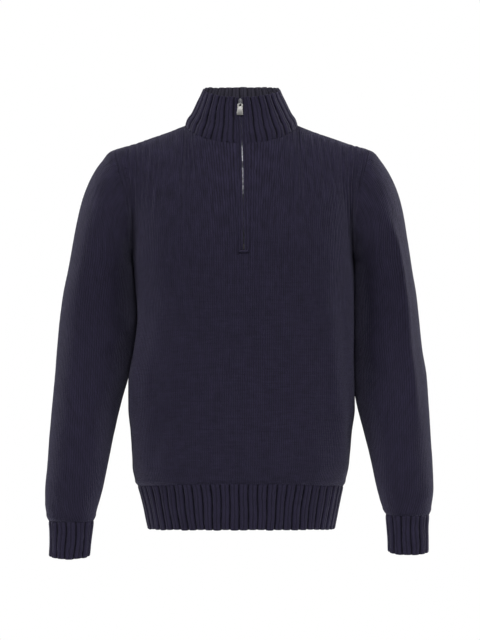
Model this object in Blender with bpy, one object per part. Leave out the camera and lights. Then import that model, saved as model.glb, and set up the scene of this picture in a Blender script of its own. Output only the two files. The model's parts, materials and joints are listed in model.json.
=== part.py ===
"""Quarter-zip mock-neck sweater, worn shape with no wearer.

Metres, +Z up, the front faces -Y, left is -X.  The origin lies between the
two high points of the shoulders, where the garment is held by a wearer.
Every cloth piece is a wall whose outside follows rings or sections worked out
from the sizes below, and whose inside is one wall thickness further in.
"""

import math

import bmesh
import bpy
import numpy as np

# ---------------------------------------------------------------- driving sizes
CLOTH = 0.0028  # wall of the plain knit
RIB = 0.0038  # wall of the ribbed pieces
SEAM = 0.0003  # gap between two pieces at a seam
ARMPIT_Z = -0.225  # level where the armhole starts
HEM_TOP_Z = -0.612  # seam between body and hem rib, at the side
HEM_LOW_Z = -0.684  # lower edge of the hem rib, at the side
SLOT = 0.0170  # width of the slit that holds the zip and its edges
ZIP_END_Z = -0.2165  # lower end of the zip
NECK_SHARE = 0.42  # share of a panel's half width that ends on the neck line

# shoulder line, from the neck point to the sleeve
SHOULDER_COLUMNS = ("x", "y", "z")
SHOULDER = (
    (0.0960, -0.005, 0.0005),
    (0.1236, -0.004, -0.0102),
    (0.1534, -0.002, -0.0204),
    (0.1820, 0.000, -0.0306),
    (0.2165, 0.002, -0.0408),
)

# how the panels' surface arrives at the shoulder line: its way in depth and up,
# what is added to both towards the centre, and how far the surface would rise
# at the centre if it ran on under the collar to the shoulder line
TOP_WAY_COLUMNS = ("panel", "depth", "up", "more_depth", "more_up", "rise")
TOP_WAY = (
    ("front", 0.243, 0.056, 0.019, -0.010, 0.0208),
    ("back", 0.250, 0.006, -0.060, 0.055, 0.1080),
)

# body rings, one row for each level: half widths to the left and right seam,
# depth to the front and to the back, squareness of the ring, and how much the
# ring rises at the centre front
BODY_COLUMNS = ("z", "left", "right", "front", "back", "square", "lift")
BODY = (
    (-0.684, 0.1593, 0.1590, 0.1060, 0.0990, 2.25, 0.0060),
    (-0.663, 0.1639, 0.1632, 0.1085, 0.1010, 2.25, 0.0070),
    (-0.642, 0.1684, 0.1670, 0.1105, 0.1030, 2.25, 0.0085),
    (-0.622, 0.1735, 0.1715, 0.1125, 0.1045, 2.25, 0.0100),
    (-0.602, 0.1804, 0.1765, 0.1165, 0.1080, 2.28, 0.0100),
    (-0.581, 0.1850, 0.1817, 0.1195, 0.1100, 2.30, 0.0080),
    (-0.561, 0.1860, 0.1841, 0.1200, 0.1105, 2.30, 0.0060),
    (-0.520, 0.1882, 0.1875, 0.1195, 0.1100, 2.30, 0.0020),
    (-0.480, 0.1921, 0.1925, 0.1190, 0.1090, 2.30, 0.0000),
    (-0.438, 0.1925, 0.1922, 0.1190, 0.1085, 2.30, 0.0000),
    (-0.377, 0.1830, 0.1908, 0.1195, 0.1090, 2.30, 0.0000),
    (-0.325, 0.1770, 0.1910, 0.1210, 0.1110, 2.30, 0.0000),
    (-0.270, 0.1810, 0.1915, 0.1235, 0.1150, 2.32, 0.0000),
    (-0.225, 0.1850, 0.1895, 0.1250, 0.1180, 2.35, 0.0000),
)

# armhole seam seen from the front: how far out it stands at each level
ARMHOLE_COLUMNS = ("z", "out")
ARMHOLE = (
    (-0.225, 0.1870),
    (-0.190, 0.1860),
    (-0.126, 0.1940),
    (-0.094, 0.2020),
    (-0.062, 0.2110),
    (-0.0408, 0.2165),
)
ARMHOLE_FRONT = 0.070  # how far the armhole reaches forward
ARMHOLE_BACK = 0.066  # and back

# sleeve rings, one row for each level: outer and inner side, middle of the
# ring in depth, half depth, squareness of the ring
SLEEVE_COLUMNS = ("z", "outer", "inner", "middle", "depth", "square")
SLEEVE_LEFT = (
    (-0.2450, 0.2949, 0.1827, 0.004, 0.0690, 2.20),
    (-0.2850, 0.3033, 0.1790, 0.008, 0.0670, 2.25),
    (-0.3250, 0.3090, 0.1750, 0.010, 0.0650, 2.30),
    (-0.3720, 0.3134, 0.1798, 0.006, 0.0620, 2.25),
    (-0.4254, 0.3172, 0.1923, -0.004, 0.0590, 2.20),
    (-0.4758, 0.3204, 0.2055, -0.016, 0.0560, 2.15),
    (-0.5269, 0.3243, 0.2166, -0.030, 0.0530, 2.10),
    (-0.5769, 0.3270, 0.2257, -0.042, 0.0500, 2.10),
    (-0.6138, 0.3296, 0.2330, -0.050, 0.0480, 2.10),
    (-0.6359, 0.3295, 0.2390, -0.053, 0.0455, 2.10),
    (-0.6519, 0.3274, 0.2434, -0.055, 0.0425, 2.10),
    (-0.6660, 0.3244, 0.2464, -0.056, 0.0395, 2.10),
)
CUFF_LEFT = (
    (-0.6660, 0.3241, 0.2467, -0.056, 0.0392, 2.10),
    (-0.6840, 0.3223, 0.2489, -0.058, 0.0370, 2.10),
    (-0.7040, 0.3222, 0.2513, -0.060, 0.0360, 2.10),
    (-0.7230, 0.3228, 0.2533, -0.062, 0.0358, 2.10),
)
SLEEVE_RIGHT = (
    (-0.245, 0.2910, 0.1880, 0.016, 0.0700, 2.20),
    (-0.285, 0.2985, 0.1870, 0.023, 0.0685, 2.20),
    (-0.325, 0.3030, 0.1865, 0.025, 0.0665, 2.20),
    (-0.372, 0.3075, 0.1865, 0.020, 0.0635, 2.20),
    (-0.424, 0.3150, 0.1890, 0.009, 0.0605, 2.15),
    (-0.474, 0.3178, 0.1960, -0.006, 0.0575, 2.15),
    (-0.525, 0.3200, 0.2085, -0.021, 0.0540, 2.10),
    (-0.575, 0.3220, 0.2200, -0.035, 0.0510, 2.10),
    (-0.612, 0.3225, 0.2275, -0.043, 0.0480, 2.10),
    (-0.634, 0.3200, 0.2330, -0.047, 0.0445, 2.10),
    (-0.656, 0.3160, 0.2410, -0.051, 0.0390, 2.10),
)
CUFF_RIGHT = (
    (-0.656, 0.3157, 0.2413, -0.051, 0.0387, 2.10),
    (-0.676, 0.3140, 0.2430, -0.054, 0.0366, 2.10),
    (-0.696, 0.3138, 0.2445, -0.057, 0.0358, 2.10),
    (-0.716, 0.3138, 0.2450, -0.059, 0.0356, 2.10),
)
INNER_BACK = 0.016  # a sleeve's inner side lies this much behind its middle
CUFF_DROP = 0.004  # the cuff's front edge hangs this much lower

# collar rings: half width, depth to the front and to the back of NECK_Y
NECK_Y = -0.005
COLLAR_COLUMNS = ("share", "half", "front", "back")
COLLAR = (
    (0.00, 0.0960, 0.0790, 0.0750),
    (0.17, 0.0925, 0.0775, 0.0735),
    (0.34, 0.0850, 0.0740, 0.0715),
    (0.50, 0.0800, 0.0710, 0.0695),
    (0.67, 0.0752, 0.0685, 0.0680),
    (0.84, 0.0700, 0.0660, 0.0665),
    (1.00, 0.0655, 0.0640, 0.0655),
)
# height of the collar's seam and of its rim, by angle from the centre front
RIM_COLUMNS = ("degrees", "seam", "rim")
RIM = (
    (0, -0.0355, 0.0420),
    (20, -0.0330, 0.0445),
    (40, -0.0255, 0.0480),
    (60, -0.0140, 0.0530),
    (90, 0.0005, 0.0620),
    (125, 0.0055, 0.0690),
    (180, 0.0070, 0.0725),
)

# the centre front leans to the right going down
LEAN_COLUMNS = ("z", "x")
LEAN = ((-0.60, 0.0000), (-0.30, 0.0030), (-0.216, 0.0036), (-0.12, 0.0026), (-0.035, 0.0008), (0.042, -0.0024))

# main folds of the body, on a map whose first number is the arc length from
# the centre front (centre back for the back) and whose second is the height
FOLD_COLUMNS = ("s0", "z0", "s1", "z1", "width", "depth")
FRONT_FOLDS = (
    (0.150, -0.270, 0.195, -0.590, 0.016, 0.0040),
    (0.178, -0.300, 0.215, -0.580, 0.014, -0.0040),
    (-0.185, -0.300, -0.215, -0.520, 0.016, 0.0035),
    (-0.120, -0.470, -0.165, -0.590, 0.016, -0.0025),
)
BACK_FOLDS = (
    (0.140, -0.300, 0.190, -0.590, 0.018, 0.0040),
    (-0.150, -0.330, -0.185, -0.590, 0.017, 0.0035),
    (0.060, -0.430, 0.085, -0.590, 0.018, -0.0030),
)

# zip, measured out from the cloth's outside (positive) or in (negative)
EDGE_IN, EDGE_OUT = 0.0016, SLOT / 2 - SEAM  # knitted edge, from and to
EDGE_TOP, EDGE_LOW = 0.0009, -0.0038
CHAIN_HALF, CHAIN_TOP, CHAIN_LOW = 0.0013, -0.0010, -0.0039
TAPE_OUT, TAPE_TOP, TAPE_LOW = 0.0115, -0.0042, -0.0050
SLIDER_LONG, SLIDER_HALF, SLIDER_DOWN = 0.0125, 0.0031, 0.0085
PIVOT_ALONG = 0.0039  # the tab's axis lies this much below the slider's middle
TAB_LONG, TAB_TOP_HALF, TAB_WAIST_HALF, TAB_LOW_HALF, TAB_THICK = 0.0195, 0.0047, 0.0041, 0.0052, 0.0012
TAB_TILT = math.radians(5.0)

# mesh density
NECK_CELLS, SHOULDER_CELLS = 5, 5  # cells of a half panel under neck and shoulder
SIDE_CELLS = NECK_CELLS + SHOULDER_CELLS
LOW_LEVELS = (-0.612, -0.603, -0.592, -0.576, -0.552, -0.520, -0.480, -0.438, -0.385, -0.330, -0.275, -0.225)
HIGH_CELLS = 10  # cells from the armpit level to the shoulder

COLORS = {
    "knit": (0.020, 0.018, 0.035),
    "rib": (0.018, 0.016, 0.031),
    "tape": (0.010, 0.010, 0.014),
    "metal": (0.42, 0.42, 0.40),
    "dark_metal": (0.10, 0.10, 0.11),
}


# ---------------------------------------------------------------- small tools
def column(rows, names, name):
    return np.array([row[names.index(name)] for row in rows], float)


def curve_through(x, y, at):
    """Smooth curve through the points of a table, without overshoot."""
    order = np.argsort(x)
    x, y = np.asarray(x, float)[order], np.asarray(y, float)[order]
    at = np.clip(np.asarray(at, float), x[0], x[-1])
    step = np.diff(x)
    slope = np.diff(y) / step
    m = np.empty_like(y)
    m[0], m[-1] = slope[0], slope[-1]
    for i in range(1, len(x) - 1):
        a, b = slope[i - 1], slope[i]
        m[i] = 0.0 if a * b <= 0 else 2 * a * b / (a + b)
    k = np.clip(np.searchsorted(x, at, side="right") - 1, 0, len(x) - 2)
    t = (at - x[k]) / step[k]
    h00, h10 = 2 * t**3 - 3 * t**2 + 1, t**3 - 2 * t**2 + t
    h01, h11 = -2 * t**3 + 3 * t**2, t**3 - t**2
    return h00 * y[k] + h10 * step[k] * m[k] + h01 * y[k + 1] + h11 * step[k] * m[k + 1]


def read(rows, names, name, at):
    return curve_through(column(rows, names, names[0]), column(rows, names, name), at)


def hermite(p0, m0, p1, m1, t):
    return (
        (2 * t**3 - 3 * t**2 + 1) * p0
        + (t**3 - 2 * t**2 + t) * m0
        + (-2 * t**3 + 3 * t**2) * p1
        + (t**3 - t**2) * m1
    )


def smoothstep(a, b, x):
    t = np.clip((x - a) / (b - a), 0, 1)
    return t * t * (3 - 2 * t)


def quarter(half, depth, square, shares):
    """Points of a quarter ring at equal shares of its length, from the middle
    of the front (0) to the side (1), as (across, forward)."""
    angle = np.linspace(0, math.pi / 2, 181)
    across = half * np.sin(angle) ** (2 / square)
    forward = depth * np.cos(angle) ** (2 / square)
    length = np.concatenate([[0], np.cumsum(np.hypot(np.diff(across), np.diff(forward)))])
    goal = np.clip(np.abs(shares), 0, 1) * length[-1]
    return np.interp(goal, length, across), np.interp(goal, length, forward), length[-1]


def unit(v):
    return v / np.maximum(np.linalg.norm(v, axis=-1, keepdims=True), 1e-12)


def grid_normals(grid, around=False):
    """Normals of a grid of points, rows up and columns around."""
    du = np.empty_like(grid)
    if around:
        du = np.roll(grid, -1, 1) - np.roll(grid, 1, 1)
    else:
        du[:, 1:-1] = grid[:, 2:] - grid[:, :-2]
        du[:, 0], du[:, -1] = grid[:, 1] - grid[:, 0], grid[:, -1] - grid[:, -2]
    dv = np.empty_like(grid)
    dv[1:-1] = grid[2:] - grid[:-2]
    dv[0], dv[-1] = grid[1] - grid[0], grid[-1] - grid[-2]
    return unit(np.cross(du, dv))


def outward(grid, normals, centre):
    """Turns the normals so that most of them leave the line x, y = centre."""
    away = grid[..., :2] - np.asarray(centre)
    if np.sum(normals[..., :2] * away) < 0:
        normals = -normals
    return normals


def mitred(a, b, ridge=False):
    """Direction and length for the inner edge of two walls that meet, so that
    both end on the plane halfway between them.  Away from a ridge, walls that
    turn back on each other keep their own directions."""
    half = unit(a + b)
    length = 1 / np.maximum(np.sum(half * a, -1, keepdims=True), 0.62)
    blend = 1.0 if ridge else smoothstep(0.25, 0.65, np.sum(a * b, -1, keepdims=True))
    return blend * half * length + (1 - blend) * a


def trim(grid, edge, gap):
    """Moves one edge of a grid back by gap."""
    if edge == "first row":
        grid[0] += unit(grid[1] - grid[0]) * gap
    elif edge == "last row":
        grid[-1] += unit(grid[-2] - grid[-1]) * gap
    elif edge == "first column":
        grid[:, 0] += unit(grid[:, 1] - grid[:, 0]) * gap
    elif edge == "last column":
        grid[:, -1] += unit(grid[:, -2] - grid[:, -1]) * gap


def folds(table, s, z):
    """Height of the folds of a table at arc length s and level z."""
    height = np.zeros(np.broadcast(s, z).shape)
    for s0, z0, s1, z1, width, depth in table:
        along = np.array([s1 - s0, z1 - z0])
        length = np.hypot(*along)
        along = along / length
        t = ((s - s0) * along[0] + (z - z0) * along[1]) / length
        off = -(s - s0) * along[1] + (z - z0) * along[0]
        ends = smoothstep(-0.12, 0.3, t) * smoothstep(1.12, 0.75, t)
        height = height + depth * ends * np.exp(-0.5 * (off / width) ** 2)
    return height


# ---------------------------------------------------------------- body panels
def body_ring(z, shares, back):
    """Points of half a ring at level z; shares run from -1 at the left seam
    to 1 at the right seam."""
    at = lambda name: float(read(BODY, BODY_COLUMNS, name, z))
    depth = at("back") if back else at("front")
    points = np.empty((len(shares), 3))
    arcs = np.empty(len(shares))
    for sign, name in ((-1, "left"), (1, "right")):
        pick = shares < 0 if sign < 0 else shares >= 0
        across, forward, length = quarter(at(name), depth, at("square"), shares[pick])
        points[pick, 0] = sign * across
        points[pick, 1] = forward if back else -forward
        arcs[pick] = shares[pick] * length
    rise = 0.0 if back else at("lift")
    points[:, 2] = z + rise * (np.abs(points[:, 1]) / depth) ** 1.5
    return points, arcs


def neck_point(angle):
    """Point of the neck seam; angle in degrees from the centre front."""
    a = math.radians(abs(angle))
    half, front, back = COLLAR[0][1:]
    depth = front if abs(angle) <= 90 else back
    x = math.copysign(half * math.sin(a), angle)
    return np.array([x, NECK_Y - depth * math.cos(a), float(read(RIM, RIM_COLUMNS, "seam", abs(angle)))])


def panel_top(share, back):
    """Point of the neck line or of the shoulder line for a share of the half
    width."""
    part = abs(share)
    sign = 1.0 if share >= 0 else -1.0
    if part <= NECK_SHARE:
        turn = 90 * part / NECK_SHARE
        return neck_point(sign * (180 - turn if back else turn))
    x0, x1 = SHOULDER[0][0], SHOULDER[-1][0]
    x = x0 + (x1 - x0) * (part - NECK_SHARE) / (1 - NECK_SHARE)
    return np.array(
        [
            sign * x,
            float(read(SHOULDER, SHOULDER_COLUMNS, "y", x)),
            float(read(SHOULDER, SHOULDER_COLUMNS, "z", x)),
        ]
    )


def armhole_point(t, side, back):
    """Point of the armhole; t runs from the armpit (0) to the shoulder (1)."""
    turn = math.pi * (1 - t)
    top, low = SHOULDER[-1][2], ARMPIT_Z
    z = (top + low) / 2 + (top - low) / 2 * math.cos(turn)
    reach = ARMHOLE_BACK if back else -ARMHOLE_FRONT
    y = reach * math.sin(turn) ** 0.85 + SHOULDER[-1][1] * t
    low_out = float(read(BODY, BODY_COLUMNS, "left" if side < 0 else "right", ARMPIT_Z))
    x = float(read(ARMHOLE, ARMHOLE_COLUMNS, "out", z)) + (low_out - ARMHOLE[0][1]) * (1 - t) ** 3
    return np.array([side * x, y, z])


def lean(z):
    return read(LEAN, LEAN_COLUMNS, "x", z)


def panel(back, shares, steps):
    """Outside of a body panel above the armpit level, rows up from it. The
    surface runs on under the collar; columns there end at the neck seam."""
    ring, arcs = body_ring(ARMPIT_Z, shares, back)
    _, depth_way, up_way, more_depth, more_up, rise = TOP_WAY[1 if back else 0]
    toward = -1.0 if back else 1.0  # +Y is towards the back of a front panel
    neck_x, _, neck_z = SHOULDER[0]
    shoulder_slope = (SHOULDER[0][2] - SHOULDER[1][2]) / (SHOULDER[1][0] - SHOULDER[0][0])
    fine = np.linspace(0, 1, 401)
    steps = np.asarray(steps, float)
    grid = np.empty((len(steps), len(shares), 3))
    for j, share in enumerate(shares):
        part = abs(share)
        goal = panel_top(share, back)
        start_way = np.array([0, -toward * (0.010 + 0.02 * part) * (0.6 if back else 1.0), 0.205])
        if part < NECK_SHARE - 1e-6:
            inside = max(1 - (goal[0] / neck_x) ** 2, 0)
            end_way = np.array(
                [0, toward * (depth_way + more_depth * inside**2), up_way + more_up * inside**2]
            )
            top = np.array(
                [goal[0], NECK_Y, neck_z + shoulder_slope * neck_x / 2 * inside + rise * inside**2]
            )
            y = hermite(ring[j, 1], start_way[1], top[1], end_way[1], fine)
            stop = float(np.interp(0, (y - goal[1]) * toward, fine))
            top[0] = ring[j, 0] + (goal[0] - ring[j, 0]) / (3 * stop**2 - 2 * stop**3)
            gap = goal - hermite(ring[j], start_way, top, end_way, stop)
        else:
            top, stop, gap = goal, 1.0, np.zeros(3)
            end_way = np.array([0, toward * depth_way, up_way])
        t = (steps * stop)[:, None]
        grid[:, j] = hermite(ring[j], start_way, top, end_way, t) + gap * steps[:, None] ** 3
    for i, t in enumerate(steps):
        power = 4.5 + 10 * (1 - t) ** 3
        for index, side in ((0, -1), (-1, 1)):
            pull = armhole_point(t, side, back) - grid[i, index]
            near = np.where(shares * side > 0, np.abs(shares), 0.0) ** power
            grid[i] += near[:, None] * pull
    return grid, arcs


def panel_shares():
    edge = SLOT / 2 / 0.262
    neck = np.linspace(edge, NECK_SHARE, NECK_CELLS + 1)
    shoulder = np.linspace(NECK_SHARE, 1, SHOULDER_CELLS + 1)[1:]
    side = np.concatenate([neck, shoulder])
    return np.concatenate([-side[::-1], side])


def body_panel(back):
    """Whole outside of a panel, rows up from the rib seam, columns from left
    to right, with the slit's two edges as the middle columns."""
    shares = panel_shares()
    low, arcs = [], []
    for z in LOW_LEVELS[:-1]:
        ring, arc = body_ring(z, shares, back)
        low.append(ring)
        arcs.append(arc)
    steps = np.linspace(0, 1, HIGH_CELLS + 1)
    high, arc = panel(back, shares, steps)
    grid = np.concatenate([np.array(low), high])
    arcs = np.concatenate([np.array(arcs), np.repeat(arc[None], len(steps), 0)])
    normals = outward(grid, grid_normals(grid), (0, 0))
    fade = smoothstep(HEM_TOP_Z, HEM_TOP_Z + 0.03, grid[..., 2]) * smoothstep(-0.10, -0.25, grid[..., 2])
    height = folds(BACK_FOLDS if back else FRONT_FOLDS, arcs, grid[..., 2]) * fade
    height *= smoothstep(1.0, 0.9, np.abs(shares))[None]
    grid = grid + normals * height[..., None]
    if not back:
        near = (1 - np.abs(shares)) ** 2
        grid[..., 0] += lean(grid[..., 2]) * near[None]
        rows = range(len(LOW_LEVELS) - 1, len(grid))
        for column_index, sign in ((SIDE_CELLS, -1), (SIDE_CELLS + 1, 1)):
            for row in rows:
                grid[row, column_index, 0] = lean(grid[row, column_index, 2]) + sign * SLOT / 2
        # the slit ends just under the zip
        for column_index in (SIDE_CELLS, SIDE_CELLS + 1):
            low = grid[rows[0], column_index]
            up = grid[rows[1], column_index]
            share = (ZIP_END_Z - 0.0035 - low[2]) / (up[2] - low[2])
            grid[rows[0], column_index] = low + (up - low) * share
    return grid, shares


def band(back, levels):
    """Outside of half a rib band around the body."""
    return np.array([body_ring(z, panel_shares(), back)[0] for z in levels])


# ---------------------------------------------------------------- sleeves
def sleeve_ring(table, z, turns, side):
    """Ring of a sleeve; turns in degrees from the outer side over the front."""
    at = lambda name: float(read(table, SLEEVE_COLUMNS, name, z))
    outer, inner, middle, depth, square = (at(n) for n in SLEEVE_COLUMNS[1:])
    centre, half = (outer + inner) / 2, (outer - inner) / 2
    points = np.empty((len(turns), 3))
    for i, turn in enumerate(turns):
        turn = turn % 360
        fold_turn = turn if turn <= 180 else 360 - turn
        share = 1 - abs(fold_turn - 90) / 90
        # share of the quarter from its side (0) to its front (1)
        across, forward, _ = quarter(half, depth, square, np.array([1 - share]))
        x = across[0] if fold_turn <= 90 else -across[0]
        y = -forward[0] if turn <= 180 else forward[0]
        inner_side = max(-math.cos(math.radians(turn)), 0) ** 2
        fade = float(smoothstep(-0.62, -0.45, z) * smoothstep(-0.245, -0.31, z))
        points[i] = (side * (centre + x), middle + y + INNER_BACK * inner_side * fade, z)
    return points


def clear_of_body(points, side, gap):
    """Moves points that are nearer to the body than gap away from it."""
    for p in points.reshape(-1, 3):
        z = min(p[2], ARMPIT_Z)
        at = lambda name: float(read(BODY, BODY_COLUMNS, name, z))
        half = at("left" if side < 0 else "right") + gap
        depth = (at("front") if p[1] < 0 else at("back")) + gap
        square = at("square")
        inside = (abs(p[0]) / half) ** square + (abs(p[1]) / depth) ** square
        if inside < 1:
            room = max(1 - (abs(p[1]) / depth) ** square, 0) ** (1 / square)
            p[0] = side * half * room


def sleeve(side, table, levels, cap_steps):
    """Outside of a sleeve, rows down from the armhole, columns around from
    the armpit over the front to the shoulder and down the back."""
    up = np.linspace(0, 1, HIGH_CELLS + 1)
    front = [armhole_point(t, side, False) for t in up]
    rear = [armhole_point(t, side, True) for t in up[::-1]][1:-1]
    start = np.array(front + rear)
    turns = np.concatenate([180 * (1 - up), 360 - 180 * (1 - up[::-1][1:-1])]) % 360
    first = sleeve_ring(table, levels[0], turns, side)
    second = sleeve_ring(table, levels[0] - 0.02, turns, side)
    clear_of_body(first, side, 0.0012)
    down = unit(second - first)
    reach = np.linalg.norm(first - start, axis=1, keepdims=True)
    top = 0.5 + 0.5 * np.cos(np.radians(turns))[:, None]  # 1 at the shoulder
    fore = np.sin(np.radians(turns))[:, None]  # 1 at the front
    away = np.concatenate(
        [
            side * (0.42 + 0.38 * top),
            -0.10 * fore,
            -(0.86 - 0.26 * top) + 0 * fore,
        ],
        1,
    )
    rows = []
    for t in cap_steps:
        row = hermite(start, away * reach * 1.05, first, down * reach * 0.95, t)
        rows.append(row)
    grid = np.array(rows + [sleeve_ring(table, z, turns, side) for z in levels[1:]])
    for row in grid[1:]:
        clear_of_body(row, side, 0.0012)
    # the underarm starts a little outside the side seam
    low = smoothstep(0.35, 0.05, top[:, 0])
    grid[0, :, 0] += side * 0.0004 * low
    return grid, turns


def tube_levels(table, count, power=1.0):
    z = column(table, SLEEVE_COLUMNS, "z")
    return z[0] + (z[-1] - z[0]) * np.linspace(0, 1, count) ** power


# ---------------------------------------------------------------- collar
def collar_point(angle, share):
    a = math.radians(abs(angle))
    at = lambda name: float(read(COLLAR, COLLAR_COLUMNS, name, share))
    depth = at("front") if abs(angle) <= 90 else at("back")
    seam = float(read(RIM, RIM_COLUMNS, "seam", abs(angle)))
    rim = float(read(RIM, RIM_COLUMNS, "rim", abs(angle)))
    z = seam + (rim - seam) * share
    x = math.copysign(at("half") * math.sin(a), angle)
    x += float(lean(z)) * max(math.cos(a), 0) ** 2
    return np.array([x, NECK_Y - depth * math.cos(a), z])


def collar_grid(rows):
    """Columns meet those of the panels at the neck seam."""
    quarter_turn = panel_shares()[SIDE_CELLS + 1 : SIDE_CELLS + 2 + NECK_CELLS] / NECK_SHARE * 90
    grid = []
    for share in np.linspace(0, 1, rows + 1):
        half = float(read(COLLAR, COLLAR_COLUMNS, "half", share))
        start = math.degrees(math.asin(SLOT / 2 / half))
        right = np.concatenate([[start], quarter_turn[1:], 180 - quarter_turn[-2::-1]])
        turns = np.concatenate([right, 360 - right[::-1]])
        row = [collar_point(t if t <= 180 else t - 360, share) for t in turns]
        for index, sign in ((0, 1), (-1, -1)):
            row[index][0] = float(lean(row[index][2])) + sign * SLOT / 2
        grid.append(row)
    return np.array(grid)


# ---------------------------------------------------------------- solids
def material(name):
    found = bpy.data.materials.get(name)
    if found:
        return found
    found = bpy.data.materials.new(name)
    found.use_nodes = True
    shader = found.node_tree.nodes["Principled BSDF"]
    shader.inputs["Base Color"].default_value = (*COLORS[name], 1)
    shader.inputs["Roughness"].default_value = 0.35 if "metal" in name else 0.9
    shader.inputs["Metallic"].default_value = 1.0 if "metal" in name else 0.0
    return found


def add_object(name, mesh_maker, slot, origin=None):
    mesh = bpy.data.meshes.new(name)
    bm = bmesh.new()
    mesh_maker(bm)
    bmesh.ops.recalc_face_normals(bm, faces=bm.faces)
    if origin is not None:
        bmesh.ops.translate(bm, verts=bm.verts, vec=[-c for c in origin])
    bm.to_mesh(mesh)
    bm.free()
    mesh.shade_smooth()
    mesh.set_sharp_from_angle(angle=math.radians(50))
    mesh.materials.append(material(slot))
    thing = bpy.data.objects.new(name, mesh)
    if origin is not None:
        thing.location = origin
    bpy.context.scene.collection.objects.link(thing)
    return thing


def wall(name, outer, inner, slot, around=False, keep=None):
    """Closed wall between two grids, with its edges filled. keep says which
    cells are there."""
    rows, cols = outer.shape[:2]
    cells = cols if around else cols - 1
    kept = np.ones((rows - 1, cells), bool) if keep is None else keep

    def make(bm):
        out = [[bm.verts.new(outer[i, j]) for j in range(cols)] for i in range(rows)]
        inn = [[bm.verts.new(inner[i, j]) for j in range(cols)] for i in range(rows)]
        wrap = lambda j: j % cols

        def has(i, j):
            if around:
                j %= cells
            return 0 <= i < rows - 1 and 0 <= j < cells and kept[i, j]

        for i in range(rows - 1):
            for j in range(cells):
                if not kept[i, j]:
                    continue
                k = wrap(j + 1)
                bm.faces.new((out[i][j], out[i][k], out[i + 1][k], out[i + 1][j]))
                bm.faces.new((inn[i][j], inn[i + 1][j], inn[i + 1][k], inn[i][k]))
                if not has(i - 1, j):
                    bm.faces.new((out[i][j], inn[i][j], inn[i][k], out[i][k]))
                if not has(i + 1, j):
                    bm.faces.new((out[i + 1][j], out[i + 1][k], inn[i + 1][k], inn[i + 1][j]))
                if not has(i, j - 1):
                    bm.faces.new((out[i][j], out[i + 1][j], inn[i + 1][j], inn[i][j]))
                if not has(i, j + 1):
                    bm.faces.new((out[i][k], inn[i][k], inn[i + 1][k], out[i + 1][k]))
        loose = [v for v in bm.verts if not v.link_faces]
        for v in loose:
            bm.verts.remove(v)

    return add_object(name, make, slot)


def prism(bm, outline, low, high, place):
    """Prism on an outline of (across, along) points, between two depths."""
    bottom = [bm.verts.new(place(a, b, low)) for a, b in outline]
    top = [bm.verts.new(place(a, b, high)) for a, b in outline]
    bm.faces.new(bottom)
    bm.faces.new(top[::-1])
    for i in range(len(outline)):
        k = (i + 1) % len(outline)
        bm.faces.new((bottom[i], top[i], top[k], bottom[k]))


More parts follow.
